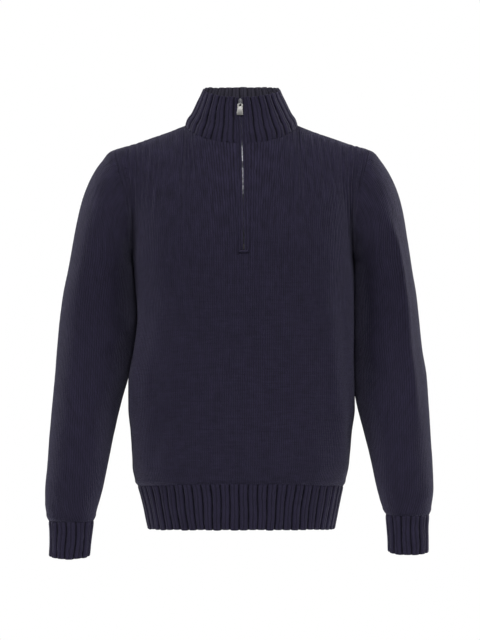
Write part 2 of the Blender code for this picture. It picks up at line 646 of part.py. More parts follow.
# ---------------------------------------------------------------- build
def build():
    for thing in list(bpy.data.objects):
        bpy.data.objects.remove(thing, do_unlink=True)

    # body panels
    front, shares = body_panel(False)
    rear, _ = body_panel(True)
    front_n = outward(front, grid_normals(front), (0, 0))
    rear_n = outward(rear, grid_normals(rear), (0, 0))
    low_rows = len(LOW_LEVELS) - 1
    columns = front.shape[1]
    for normals in (front_n, rear_n):
        for edge, next_to in ((0, 1), (-1, -2)):
            normals[low_rows : low_rows + 3, edge] = normals[low_rows : low_rows + 3, next_to]

    # sleeves
    sleeves = {}
    for side, table in ((-1, SLEEVE_LEFT), (1, SLEEVE_RIGHT)):
        levels = tube_levels(table, 13, 0.96)
        grid, turns = sleeve(side, table, levels, np.linspace(0, 1, 7))
        centre = grid.mean(1, keepdims=True)
        normals = grid_normals(grid, True)
        if np.sum(normals * (grid - centre)) < 0:
            normals = -normals
        low = np.cos(np.radians(turns)) < -0.4
        normals[0, low] = normals[2, low]
        sleeves[side] = (grid, normals)

    # inner directions: natural ones, mitred where two walls meet
    front_in, rear_in = front_n.copy(), rear_n.copy()
    for j in range(columns):
        if abs(shares[j]) >= NECK_SHARE:
            front_in[-1, j] = rear_in[-1, j] = mitred(front_n[-1, j], rear_n[-1, j], True)
    for i in range(low_rows):
        for j in (0, -1):
            both = unit(front_n[i, j] + rear_n[i, j])
            front_in[i, j] = rear_in[i, j] = both
    for side, edge in ((-1, 0), (1, -1)):
        grid, normals = sleeves[side]
        into = normals.copy()
        for t in range(HIGH_CELLS + 1):
            row = low_rows + t
            into[0, t] = mitred(normals[0, t], front_n[row, edge])
            front_in[row, edge] = mitred(front_n[row, edge], normals[0, t])
            if 0 < t < HIGH_CELLS:
                k = 2 * HIGH_CELLS - t
                into[0, k] = mitred(normals[0, k], rear_n[row, edge])
                rear_in[row, edge] = mitred(rear_n[row, edge], normals[0, k])
        corner = front_n[-1, edge] + rear_n[-1, edge] + normals[0, HIGH_CELLS]
        tip = unit(corner)
        front_in[-1, edge] = rear_in[-1, edge] = into[0, HIGH_CELLS] = tip * 1.08
        both = unit(rear_n[low_rows - 1, edge] + front_n[low_rows - 1, edge])
        rear_in[low_rows, edge] = front_in[low_rows, edge] = both
        into[0, 0] = unit(normals[1, 0])
        sleeves[side] = (grid, into)

    # the walls beside the slit end square to it
    for j in (SIDE_CELLS, SIDE_CELLS + 1):
        front_in[low_rows:, j, 0] = 0
        front_in[low_rows:, j] = unit(front_in[low_rows:, j])

    # collar
    ring = collar_grid(5)
    ring_n = outward(ring, grid_normals(ring), (0, NECK_Y))
    for j in (0, -1):
        ring_n[:, j, 0] = 0
        ring_n[:, j] = unit(ring_n[:, j])

    for grid in (front, rear):
        for edge in ("first row", "last row", "first column", "last column"):
            trim(grid, edge, SEAM / 2)
    for side, edge in ((-1, 0), (1, -1)):
        grid, into = sleeves[side]
        trim(grid, "first row", SEAM / 2)
        trim(grid, "last row", SEAM / 2)
    trim(ring, "first row", SEAM)

    keep = np.ones((front.shape[0] - 1, columns - 1), bool)
    for i in range(front.shape[0] - 1):
        if front[i, SIDE_CELLS, 2] > ZIP_END_Z - 0.012:
            keep[i, SIDE_CELLS] = False
    wall("front_panel", front, front - front_in * CLOTH, "knit", keep=keep)
    wall("back_panel", rear, rear - rear_in * CLOTH, "knit")
    for side, name in ((-1, "left"), (1, "right")):
        grid, into = sleeves[side]
        wall("sleeve_" + name, grid, grid - into * CLOTH, "knit", around=True)

    wall("collar", ring, ring - ring_n * RIB, "rib")

    # rib bands
    levels = np.linspace(HEM_LOW_Z, HEM_TOP_Z, 5)
    for back, name in ((False, "hem_rib_front"), (True, "hem_rib_back")):
        grid = band(back, levels)
        normals = outward(grid, grid_normals(grid), (0, 0))
        normals[:, 0] = unit(normals[:, 0] * np.array([1, 0, 1]))
        normals[:, -1] = unit(normals[:, -1] * np.array([1, 0, 1]))
        for edge in ("last row", "first column", "last column"):
            trim(grid, edge, SEAM / 2)
        wall(name, grid, grid - normals * RIB, "rib")
    for side, name, table in ((-1, "left", CUFF_LEFT), (1, "right", CUFF_RIGHT)):
        turns = np.linspace(0, 360, 16, endpoint=False)
        levels = tube_levels(table, 4)
        grid = np.array([sleeve_ring(table, z, turns, side) for z in levels])
        drop = np.linspace(0, 1, len(levels))[:, None] * np.sin(np.radians(turns))[None]
        grid[..., 2] -= CUFF_DROP * np.maximum(drop, -0.3)
        normals = grid_normals(grid, True)
        if np.sum(normals * (grid - grid.mean(1, keepdims=True))) < 0:
            normals = -normals
        trim(grid, "first row", SEAM / 2)
        wall("cuff_" + name, grid, grid - normals * RIB, "rib", around=True)

    zip_parts(front, low_rows)


def zip_parts(front, low_rows):
    # centre line of the front, from the rim down to the end of the slit
    line = []
    for share in np.linspace(1, 0, 6):
        line.append(collar_point(0, share))
    middle = (front[:, SIDE_CELLS] + front[:, SIDE_CELLS + 1]) / 2
    for row in range(front.shape[0] - 2, low_rows - 1, -1):
        line.append(middle[row])
    line = np.array(line)
    run = np.concatenate([[0], np.cumsum(np.linalg.norm(np.diff(line, axis=0), axis=1))])
    end = float(np.interp(ZIP_END_Z, line[::-1, 2], run[::-1]))
    collar_end = run[5]

    def place_on(s):
        p = np.array([np.interp(s, run, line[:, k]) for k in range(3)])
        e = 0.004
        q0 = np.array([np.interp(s - e, run, line[:, k]) for k in range(3)])
        q1 = np.array([np.interp(s + e, run, line[:, k]) for k in range(3)])
        along = unit(q1 - q0)
        out = unit(np.cross(along, np.array([1.0, 0, 0])))
        if out[1] > 0:
            out = -out
        return p, along, out

    def bend(s):
        """Radius of the cloth across the centre line."""
        return float(np.interp(s, [0, collar_end, collar_end + 0.03, end], [0.066, 0.085, 0.16, 0.9]))

    def strip(name, x0, x1, top, low, s0, s1, slot, count=16):
        outer, inner = [], []
        for s in np.linspace(s0, s1, count):
            p, _, out = place_on(s)
            for height, target in ((top, outer), (low, inner)):
                pair = []
                for x in (x0, x1):
                    q = p + out * height
                    q[0] += x
                    q[1] += x * x / (2 * bend(s))
                    pair.append(q)
                target.append(pair)
        wall(name, np.array(outer), np.array(inner), slot)

    slider_low = SLIDER_DOWN + SLIDER_LONG / 2
    for sign, name in ((-1, "left"), (1, "right")):
        x0, x1 = sorted((sign * EDGE_IN, sign * EDGE_OUT))
        strip("edging_" + name, x0, x1, EDGE_TOP, EDGE_LOW, 0.0008, end - 0.0022, "rib", 20)
        x0, x1 = sorted((sign * EDGE_IN, sign * TAPE_OUT))
        strip("zip_tape_" + name, x0, x1, TAPE_TOP - 0.0002, TAPE_LOW - 0.0002, 0.0015, end - 0.0022, "tape", 18)
    strip("edging_end", -EDGE_OUT, EDGE_OUT, EDGE_TOP, -0.0026, end - 0.0019, end + 0.0030, "rib", 3)
    strip("zip_chain", -CHAIN_HALF, CHAIN_HALF, CHAIN_TOP, CHAIN_LOW, slider_low + 0.0006, end - 0.0126, "dark_metal", 18)
    strip("zip_stop", -CHAIN_HALF, CHAIN_HALF, CHAIN_TOP + 0.0006, CHAIN_LOW, end - 0.0120, end - 0.0030, "metal", 4)

    # slider: front and back plates joined by a neck, with a bail on the front
    p, along, out = place_on(SLIDER_DOWN)
    across = np.array([1.0, 0, 0])
    turned_along = unit(along * math.cos(TAB_TILT) - across * math.sin(TAB_TILT))
    turned_across = unit(np.cross(out, turned_along))
    if turned_across[0] < 0:
        turned_across = -turned_across

    def on_slider(a, b, depth):
        return p + turned_across * a + turned_along * b + out * depth

    half, long = SLIDER_HALF, SLIDER_LONG / 2
    plate_low, plate_high = EDGE_TOP + 0.0004, EDGE_TOP + 0.0016
    bail_low, bail_high = plate_high + 0.0024, plate_high + 0.0034
    pivot_depth = plate_high + 0.00125
    pivot_along = PIVOT_ALONG
    bail_half = 0.0007

    def make_slider(bm):
        plate = (
            (-half * 0.72, -long), (half * 0.72, -long), (half, -long * 0.55), (half, long * 0.4),
            (half * 0.55, long), (-half * 0.55, long), (-half, long * 0.4), (-half, -long * 0.55),
        )
        prism(bm, plate, plate_low, plate_high, on_slider)

    slider = add_object("zip_slider", make_slider, "dark_metal")

    def cut_in(make, name):
        return add_object(name, make, "dark_metal")

    def make_neck(bm):
        outline = ((-0.0008, -0.0022), (0.0008, -0.0022), (0.0008, 0.0018), (-0.0008, 0.0018))
        prism(bm, outline, TAPE_LOW - 0.0012, plate_low + 0.0005, on_slider)

    def make_back(bm):
        outline = (
            (-half * 0.8, -long * 0.8), (half * 0.8, -long * 0.8), (half, 0.0), (half * 0.6, long * 0.8),
            (-half * 0.6, long * 0.8), (-half, 0.0),
        )
        prism(bm, outline, TAPE_LOW - 0.0017, TAPE_LOW - 0.0007, on_slider)

    def make_bail(bm):
        lower = pivot_along + 0.0012
        outline = [
            (-long + 0.0002, plate_high - 0.0004), (-long + 0.0014, plate_high - 0.0004), (-long + 0.0018, bail_low),
            (lower, bail_low), (lower, plate_high - 0.0004), (lower + 0.0011, plate_high - 0.0004),
            (lower + 0.0011, bail_high - 0.0005), (lower + 0.0006, bail_high), (-long + 0.0010, bail_high),
            (-long + 0.0003, bail_high - 0.0006),
        ]
        left = [bm.verts.new(on_slider(-bail_half, b, d)) for b, d in outline]
        right = [bm.verts.new(on_slider(bail_half, b, d)) for b, d in outline]
        bm.faces.new(left)
        bm.faces.new(right[::-1])
        for i in range(len(outline)):
            k = (i + 1) % len(outline)
            bm.faces.new((left[i], right[i], right[k], left[k]))

    for maker, name in ((make_neck, "slider_neck"), (make_back, "slider_back"), (make_bail, "slider_bail")):
        piece = cut_in(maker, name)
        join = slider.modifiers.new(name, "BOOLEAN")
        join.operation = "UNION"
        join.solver = "EXACT"
        join.object = piece
        piece.hide_render = True
        piece.display_type = "WIRE"

    # pull tab, hanging on the bail with its eye's bar as the pivot
    pivot = on_slider(0.0, pivot_along, pivot_depth)

    def on_tab(a, b, depth):
        return pivot + turned_across * a + turned_along * b + out * depth

    bar = 0.0008
    hole_low = 0.0043
    outline = (
        (-0.0038, -bar), (0.0038, -bar), (TAB_TOP_HALF, 0.0004), (TAB_TOP_HALF, 0.0036), (TAB_WAIST_HALF, 0.0066),
        (TAB_LOW_HALF, TAB_LONG - bar - 0.0006), (TAB_LOW_HALF - 0.0006, TAB_LONG - bar),
        (-TAB_LOW_HALF + 0.0006, TAB_LONG - bar), (-TAB_LOW_HALF, TAB_LONG - bar - 0.0006),
        (-TAB_WAIST_HALF, 0.0066), (-TAB_TOP_HALF, 0.0036), (-TAB_TOP_HALF, 0.0004),
    )

    def make_tab(bm):
        """Flat plate with one hole, bridged from the outline to the hole."""
        count = 24
        middle_b = (bar + hole_low) / 2
        hole, rim = [], []
        edge = np.array(outline + (outline[0],), float)
        for i in range(count):
            turn = 2 * math.pi * (i + 0.5) / count
            way = np.array([math.sin(turn), -math.cos(turn)])
            hole.append(np.array([0.0, middle_b]) + way * np.array([0.0017, (hole_low - bar) / 2]))
            best = None
            for a, b in zip(edge[:-1], edge[1:]):
                m = np.array([way, a - b]).T
                if abs(np.linalg.det(m)) < 1e-15:
                    continue
                r, t = np.linalg.solve(m, a - np.array([0.0, middle_b]))
                if r > 0 and -1e-9 <= t <= 1 + 1e-9 and (best is None or r < best):
                    best = r
            rim.append(np.array([0.0, middle_b]) + way * best)
        # keep the outline's own corners
        for corner in edge[:-1]:
            way = corner - np.array([0.0, middle_b])
            turn = math.atan2(way[0], -way[1]) % (2 * math.pi)
            index = int(round(turn / (2 * math.pi) * count - 0.5)) % count
            rim[index] = np.array(corner)
        faces = []
        for depth in (-TAB_THICK / 2, TAB_THICK / 2):
            faces.append(
                (
                    [bm.verts.new(on_tab(a, b, depth)) for a, b in hole],
                    [bm.verts.new(on_tab(a, b, depth)) for a, b in rim],
                )
            )
        (h0, r0), (h1, r1) = faces
        for i in range(count):
            k = (i + 1) % count
            bm.faces.new((h0[i], h0[k], r0[k], r0[i]))
            bm.faces.new((h1[i], r1[i], r1[k], h1[k]))
            bm.faces.new((h0[i], h1[i], h1[k], h0[k]))
            bm.faces.new((r0[i], r0[k], r1[k], r1[i]))

    hinge = bpy.data.objects.new("zip_pull_hinge", None)
    hinge.location = pivot
    bpy.context.scene.collection.objects.link(hinge)
    tab = add_object("zip_pull_tab", make_tab, "metal", origin=tuple(pivot))
    tab.parent = hinge
    tab.location = (0, 0, 0)


build()
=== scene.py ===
"""Looks of the quarter-zip mock-neck sweater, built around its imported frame.

Metres, +Z up, the front faces -Y, left is -X.  Every cloth piece is a thin
shell worked out from the same sizes as the frame, on a finer mesh, with its
ribs, seams and folds as real shape and its stitches as bump.
"""

import json
import math

import bmesh
import bpy
import numpy as np
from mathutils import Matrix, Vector


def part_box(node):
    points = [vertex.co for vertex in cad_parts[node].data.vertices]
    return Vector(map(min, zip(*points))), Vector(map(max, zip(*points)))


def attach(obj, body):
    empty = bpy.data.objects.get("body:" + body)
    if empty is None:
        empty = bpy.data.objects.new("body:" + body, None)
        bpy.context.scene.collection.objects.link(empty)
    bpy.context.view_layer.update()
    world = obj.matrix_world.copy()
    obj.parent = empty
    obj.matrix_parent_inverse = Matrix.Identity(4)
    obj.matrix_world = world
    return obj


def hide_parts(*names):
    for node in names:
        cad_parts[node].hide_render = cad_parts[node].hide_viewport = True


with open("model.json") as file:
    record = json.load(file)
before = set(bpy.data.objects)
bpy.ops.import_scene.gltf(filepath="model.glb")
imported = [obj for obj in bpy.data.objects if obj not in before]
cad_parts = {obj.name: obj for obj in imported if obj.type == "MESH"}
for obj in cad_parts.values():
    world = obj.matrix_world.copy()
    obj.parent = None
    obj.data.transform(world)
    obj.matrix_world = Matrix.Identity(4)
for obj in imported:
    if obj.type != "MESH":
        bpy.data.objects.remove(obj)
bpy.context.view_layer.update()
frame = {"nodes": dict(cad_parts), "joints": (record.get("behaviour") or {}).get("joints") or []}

# ---------------------------------------------------------------- driving sizes
CLOTH = 0.0028  # wall of the plain knit
RIB = 0.0038  # wall of the ribbed pieces
SEAM = 0.0003  # gap between two pieces at a seam
ARMPIT_Z = -0.225  # level where the armhole starts
HEM_TOP_Z = -0.612  # seam between body and hem rib, at the side
HEM_LOW_Z = -0.684  # lower edge of the hem rib, at the side
SLOT = 0.0170  # width of the slit that holds the zip and its edges
ZIP_END_Z = -0.2165  # lower end of the zip
NECK_SHARE = 0.42  # share of a panel's half width that ends on the neck line

# shoulder line, from the neck point to the sleeve
SHOULDER_COLUMNS = ("x", "y", "z")
SHOULDER = (
    (0.0960, -0.005, 0.0005),
    (0.1236, -0.004, -0.0102),
    (0.1534, -0.002, -0.0204),
    (0.1820, 0.000, -0.0306),
    (0.2165, 0.002, -0.0408),
)

# how the panels' surface arrives at the shoulder line: its way in depth and up,
# what is added to both towards the centre, and how far the surface would rise
# at the centre if it ran on under the collar to the shoulder line
TOP_WAY_COLUMNS = ("panel", "depth", "up", "more_depth", "more_up", "rise")
TOP_WAY = (
    ("front", 0.243, 0.056, 0.019, -0.010, 0.0208),
    ("back", 0.250, 0.006, -0.060, 0.055, 0.1080),
)

# body rings, one row for each level: half widths to the left and right seam,
# depth to the front and to the back, squareness of the ring, and how much the
# ring rises at the centre front
BODY_COLUMNS = ("z", "left", "right", "front", "back", "square", "lift")
BODY = (
    (-0.684, 0.1593, 0.1590, 0.1060, 0.0990, 2.25, 0.0060),
    (-0.663, 0.1639, 0.1632, 0.1085, 0.1010, 2.25, 0.0070),
    (-0.642, 0.1684, 0.1670, 0.1105, 0.1030, 2.25, 0.0085),
    (-0.622, 0.1735, 0.1715, 0.1125, 0.1045, 2.25, 0.0100),
    (-0.602, 0.1804, 0.1765, 0.1165, 0.1080, 2.28, 0.0100),
    (-0.581, 0.1850, 0.1817, 0.1195, 0.1100, 2.30, 0.0080),
    (-0.561, 0.1860, 0.1841, 0.1200, 0.1105, 2.30, 0.0060),
    (-0.520, 0.1882, 0.1875, 0.1195, 0.1100, 2.30, 0.0020),
    (-0.480, 0.1921, 0.1925, 0.1190, 0.1090, 2.30, 0.0000),
    (-0.438, 0.1925, 0.1922, 0.1190, 0.1085, 2.30, 0.0000),
    (-0.377, 0.1830, 0.1908, 0.1195, 0.1090, 2.30, 0.0000),
    (-0.325, 0.1770, 0.1910, 0.1210, 0.1110, 2.30, 0.0000),
    (-0.270, 0.1810, 0.1915, 0.1235, 0.1150, 2.32, 0.0000),
    (-0.225, 0.1850, 0.1895, 0.1250, 0.1180, 2.35, 0.0000),
)

# armhole seam seen from the front: how far out it stands at each level
ARMHOLE_COLUMNS = ("z", "out")
ARMHOLE = (
    (-0.225, 0.1870),
    (-0.190, 0.1860),
    (-0.126, 0.1940),
    (-0.094, 0.2020),
    (-0.062, 0.2110),
    (-0.0408, 0.2165),
)
ARMHOLE_FRONT = 0.070  # how far the armhole reaches forward
ARMHOLE_BACK = 0.066  # and back

# sleeve rings, one row for each level: outer and inner side, middle of the
# ring in depth, half depth, squareness of the ring
SLEEVE_COLUMNS = ("z", "outer", "inner", "middle", "depth", "square")
SLEEVE_LEFT = (
    (-0.2450, 0.2949, 0.1827, 0.004, 0.0690, 2.20),
    (-0.2850, 0.3033, 0.1790, 0.008, 0.0670, 2.25),
    (-0.3250, 0.3090, 0.1750, 0.010, 0.0650, 2.30),
    (-0.3720, 0.3134, 0.1798, 0.006, 0.0620, 2.25),
    (-0.4254, 0.3172, 0.1923, -0.004, 0.0590, 2.20),
    (-0.4758, 0.3204, 0.2055, -0.016, 0.0560, 2.15),
    (-0.5269, 0.3243, 0.2166, -0.030, 0.0530, 2.10),
    (-0.5769, 0.3270, 0.2257, -0.042, 0.0500, 2.10),
    (-0.6138, 0.3296, 0.2330, -0.050, 0.0480, 2.10),
    (-0.6359, 0.3295, 0.2390, -0.053, 0.0455, 2.10),
    (-0.6519, 0.3274, 0.2434, -0.055, 0.0425, 2.10),
    (-0.6660, 0.3244, 0.2464, -0.056, 0.0395, 2.10),
)
CUFF_LEFT = (
    (-0.6660, 0.3241, 0.2467, -0.056, 0.0392, 2.10),
    (-0.6840, 0.3223, 0.2489, -0.058, 0.0370, 2.10),
    (-0.7040, 0.3222, 0.2513, -0.060, 0.0360, 2.10),
    (-0.7230, 0.3228, 0.2533, -0.062, 0.0358, 2.10),
)
SLEEVE_RIGHT = (
    (-0.245, 0.2910, 0.1880, 0.016, 0.0700, 2.20),
    (-0.285, 0.2985, 0.1870, 0.023, 0.0685, 2.20),
    (-0.325, 0.3030, 0.1865, 0.025, 0.0665, 2.20),
    (-0.372, 0.3075, 0.1865, 0.020, 0.0635, 2.20),
    (-0.424, 0.3150, 0.1890, 0.009, 0.0605, 2.15),
    (-0.474, 0.3178, 0.1960, -0.006, 0.0575, 2.15),
    (-0.525, 0.3200, 0.2085, -0.021, 0.0540, 2.10),
    (-0.575, 0.3220, 0.2200, -0.035, 0.0510, 2.10),
    (-0.612, 0.3225, 0.2275, -0.043, 0.0480, 2.10),
    (-0.634, 0.3200, 0.2330, -0.047, 0.0445, 2.10),
    (-0.656, 0.3160, 0.2410, -0.051, 0.0390, 2.10),
)
CUFF_RIGHT = (
    (-0.656, 0.3157, 0.2413, -0.051, 0.0387, 2.10),
    (-0.676, 0.3140, 0.2430, -0.054, 0.0366, 2.10),
    (-0.696, 0.3138, 0.2445, -0.057, 0.0358, 2.10),
    (-0.716, 0.3138, 0.2450, -0.059, 0.0356, 2.10),
)
INNER_BACK = 0.016  # a sleeve's inner side lies this much behind its middle
CUFF_DROP = 0.004  # the cuff's front edge hangs this much lower

# collar rings: half width, depth to the front and to the back of NECK_Y
NECK_Y = -0.005
COLLAR_COLUMNS = ("share", "half", "front", "back")
COLLAR = (
    (0.00, 0.0960, 0.0790, 0.0750),
    (0.17, 0.0925, 0.0775, 0.0735),
    (0.34, 0.0850, 0.0740, 0.0715),
    (0.50, 0.0800, 0.0710, 0.0695),
    (0.67, 0.0752, 0.0685, 0.0680),
    (0.84, 0.0700, 0.0660, 0.0665),
    (1.00, 0.0655, 0.0640, 0.0655),
)
# height of the collar's seam and of its rim, by angle from the centre front
RIM_COLUMNS = ("degrees", "seam", "rim")
RIM = (
    (0, -0.0355, 0.0420),
    (20, -0.0330, 0.0445),
    (40, -0.0255, 0.0480),
    (60, -0.0140, 0.0530),
    (90, 0.0005, 0.0620),
    (125, 0.0055, 0.0690),
    (180, 0.0070, 0.0725),
)

# the centre front leans to the right going down
LEAN_COLUMNS = ("z", "x")
LEAN = ((-0.60, 0.0000), (-0.30, 0.0030), (-0.216, 0.0036), (-0.12, 0.0026), (-0.035, 0.0008), (0.042, -0.0024))

# main folds of the body, on a map whose first number is the arc length from
# the centre front (centre back for the back) and whose second is the height
FOLD_COLUMNS = ("s0", "z0", "s1", "z1", "width", "depth")
FRONT_FOLDS = (
    (0.150, -0.270, 0.195, -0.590, 0.016, 0.0040),
    (0.178, -0.300, 0.215, -0.580, 0.014, -0.0040),
    (-0.185, -0.300, -0.215, -0.520, 0.016, 0.0035),
    (-0.120, -0.470, -0.165, -0.590, 0.016, -0.0025),
)
BACK_FOLDS = (
    (0.140, -0.300, 0.190, -0.590, 0.018, 0.0040),
    (-0.150, -0.330, -0.185, -0.590, 0.017, 0.0035),
    (0.060, -0.430, 0.085, -0.590, 0.018, -0.0030),
)

# zip, measured out from the cloth's outside (positive) or in (negative)
EDGE_IN, EDGE_OUT = 0.0016, SLOT / 2 - SEAM  # knitted edge, from and to
EDGE_TOP, EDGE_LOW = 0.0009, -0.0038
CHAIN_HALF, CHAIN_TOP, CHAIN_LOW = 0.0013, -0.0010, -0.0039
TAPE_OUT, TAPE_TOP, TAPE_LOW = 0.0115, -0.0042, -0.0050
SLIDER_LONG, SLIDER_HALF, SLIDER_DOWN = 0.0125, 0.0031, 0.0085
PIVOT_ALONG = 0.0039  # the tab's axis lies this much below the slider's middle
TAB_LONG, TAB_TOP_HALF, TAB_WAIST_HALF, TAB_LOW_HALF, TAB_THICK = 0.0195, 0.0047, 0.0041, 0.0052, 0.0012
TAB_TILT = math.radians(5.0)


# ---------------------------------------------------------------- small tools
def column(rows, names, name):
    return np.array([row[names.index(name)] for row in rows], float)


def curve_through(x, y, at):
    """Smooth curve through the points of a table, without overshoot."""
    order = np.argsort(x)
    x, y = np.asarray(x, float)[order], np.asarray(y, float)[order]
    at = np.clip(np.asarray(at, float), x[0], x[-1])
    step = np.diff(x)
    slope = np.diff(y) / step
    m = np.empty_like(y)
    m[0], m[-1] = slope[0], slope[-1]
    for i in range(1, len(x) - 1):
        a, b = slope[i - 1], slope[i]
        m[i] = 0.0 if a * b <= 0 else 2 * a * b / (a + b)
    k = np.clip(np.searchsorted(x, at, side="right") - 1, 0, len(x) - 2)
    t = (at - x[k]) / step[k]
    h00, h10 = 2 * t**3 - 3 * t**2 + 1, t**3 - 2 * t**2 + t
    h01, h11 = -2 * t**3 + 3 * t**2, t**3 - t**2
    return h00 * y[k] + h10 * step[k] * m[k] + h01 * y[k + 1] + h11 * step[k] * m[k + 1]


def read(rows, names, name, at):
    return curve_through(column(rows, names, names[0]), column(rows, names, name), at)


def hermite(p0, m0, p1, m1, t):
    return (
        (2 * t**3 - 3 * t**2 + 1) * p0
        + (t**3 - 2 * t**2 + t) * m0
        + (-2 * t**3 + 3 * t**2) * p1
        + (t**3 - t**2) * m1
    )


def smoothstep(a, b, x):
    t = np.clip((x - a) / (b - a), 0, 1)
    return t * t * (3 - 2 * t)


def quarter(half, depth, square, shares):
    """Points of a quarter ring at equal shares of its length, from the middle
    of the front (0) to the side (1), as (across, forward)."""
    angle = np.linspace(0, math.pi / 2, 181)
    across = half * np.sin(angle) ** (2 / square)
    forward = depth * np.cos(angle) ** (2 / square)
    length = np.concatenate([[0], np.cumsum(np.hypot(np.diff(across), np.diff(forward)))])
    goal = np.clip(np.abs(shares), 0, 1) * length[-1]
    return np.interp(goal, length, across), np.interp(goal, length, forward), length[-1]


def unit(v):
    return v / np.maximum(np.linalg.norm(v, axis=-1, keepdims=True), 1e-12)


def grid_normals(grid, around=False):
    """Normals of a grid of points, rows up and columns around."""
    du = np.empty_like(grid)
    if around:
        du = np.roll(grid, -1, 1) - np.roll(grid, 1, 1)
    else:
        du[:, 1:-1] = grid[:, 2:] - grid[:, :-2]
        du[:, 0], du[:, -1] = grid[:, 1] - grid[:, 0], grid[:, -1] - grid[:, -2]
    dv = np.empty_like(grid)
    dv[1:-1] = grid[2:] - grid[:-2]
    dv[0], dv[-1] = grid[1] - grid[0], grid[-1] - grid[-2]
    return unit(np.cross(du, dv))


def outward(grid, normals, centre):
    """Turns the normals so that most of them leave the line x, y = centre."""
    away = grid[..., :2] - np.asarray(centre)
    if np.sum(normals[..., :2] * away) < 0:
        normals = -normals
    return normals


def mitred(a, b, ridge=False):
    """Direction and length for the inner edge of two walls that meet, so that
    both end on the plane halfway between them.  Away from a ridge, walls that
    turn back on each other keep their own directions."""
    half = unit(a + b)
    length = 1 / np.maximum(np.sum(half * a, -1, keepdims=True), 0.62)
    blend = 1.0 if ridge else smoothstep(0.25, 0.65, np.sum(a * b, -1, keepdims=True))
    return blend * half * length + (1 - blend) * a


def trim(grid, edge, gap):
    """Moves one edge of a grid back by gap."""
    if edge == "first row":
        grid[0] += unit(grid[1] - grid[0]) * gap
    elif edge == "last row":
        grid[-1] += unit(grid[-2] - grid[-1]) * gap
    elif edge == "first column":
        grid[:, 0] += unit(grid[:, 1] - grid[:, 0]) * gap
    elif edge == "last column":
        grid[:, -1] += unit(grid[:, -2] - grid[:, -1]) * gap


def folds(table, s, z):
    """Height of the folds of a table at arc length s and level z."""
    height = np.zeros(np.broadcast(s, z).shape)
    for s0, z0, s1, z1, width, depth in table:
        along = np.array([s1 - s0, z1 - z0])
        length = np.hypot(*along)
        along = along / length
        t = ((s - s0) * along[0] + (z - z0) * along[1]) / length
        off = -(s - s0) * along[1] + (z - z0) * along[0]
        ends = smoothstep(-0.12, 0.3, t) * smoothstep(1.12, 0.75, t)
        height = height + depth * ends * np.exp(-0.5 * (off / width) ** 2)
    return height


# ---------------------------------------------------------------- body panels
def body_ring(z, shares, back):
    """Points of half a ring at level z; shares run from -1 at the left seam
    to 1 at the right seam."""
    at = lambda name: float(read(BODY, BODY_COLUMNS, name, z))
    depth = at("back") if back else at("front")
    points = np.empty((len(shares), 3))
    arcs = np.empty(len(shares))
    for sign, name in ((-1, "left"), (1, "right")):
        pick = shares < 0 if sign < 0 else shares >= 0
        across, forward, length = quarter(at(name), depth, at("square"), shares[pick])
        points[pick, 0] = sign * across
        points[pick, 1] = forward if back else -forward
        arcs[pick] = shares[pick] * length
    rise = 0.0 if back else at("lift")
    points[:, 2] = z + rise * (np.abs(points[:, 1]) / depth) ** 1.5
    return points, arcs


def neck_point(angle):
    """Point of the neck seam; angle in degrees from the centre front."""
    a = math.radians(abs(angle))
    half, front, back = COLLAR[0][1:]
    depth = front if abs(angle) <= 90 else back
    x = math.copysign(half * math.sin(a), angle)
    return np.array([x, NECK_Y - depth * math.cos(a), float(read(RIM, RIM_COLUMNS, "seam", abs(angle)))])


def panel_top(share, back):
    """Point of the neck line or of the shoulder line for a share of the half
    width."""
    part = abs(share)
    sign = 1.0 if share >= 0 else -1.0
    if part <= NECK_SHARE:
        turn = 90 * part / NECK_SHARE
        return neck_point(sign * (180 - turn if back else turn))
    x0, x1 = SHOULDER[0][0], SHOULDER[-1][0]
    x = x0 + (x1 - x0) * (part - NECK_SHARE) / (1 - NECK_SHARE)
    return np.array(
        [
            sign * x,
            float(read(SHOULDER, SHOULDER_COLUMNS, "y", x)),
            float(read(SHOULDER, SHOULDER_COLUMNS, "z", x)),
        ]
    )


def armhole_point(t, side, back):
    """Point of the armhole; t runs from the armpit (0) to the shoulder (1)."""
    turn = math.pi * (1 - t)
    top, low = SHOULDER[-1][2], ARMPIT_Z
    z = (top + low) / 2 + (top - low) / 2 * math.cos(turn)
    reach = ARMHOLE_BACK if back else -ARMHOLE_FRONT
    y = reach * math.sin(turn) ** 0.85 + SHOULDER[-1][1] * t
    low_out = float(read(BODY, BODY_COLUMNS, "left" if side < 0 else "right", ARMPIT_Z))
    x = float(read(ARMHOLE, ARMHOLE_COLUMNS, "out", z)) + (low_out - ARMHOLE[0][1]) * (1 - t) ** 3
    return np.array([side * x, y, z])


def lean(z):
    return read(LEAN, LEAN_COLUMNS, "x", z)


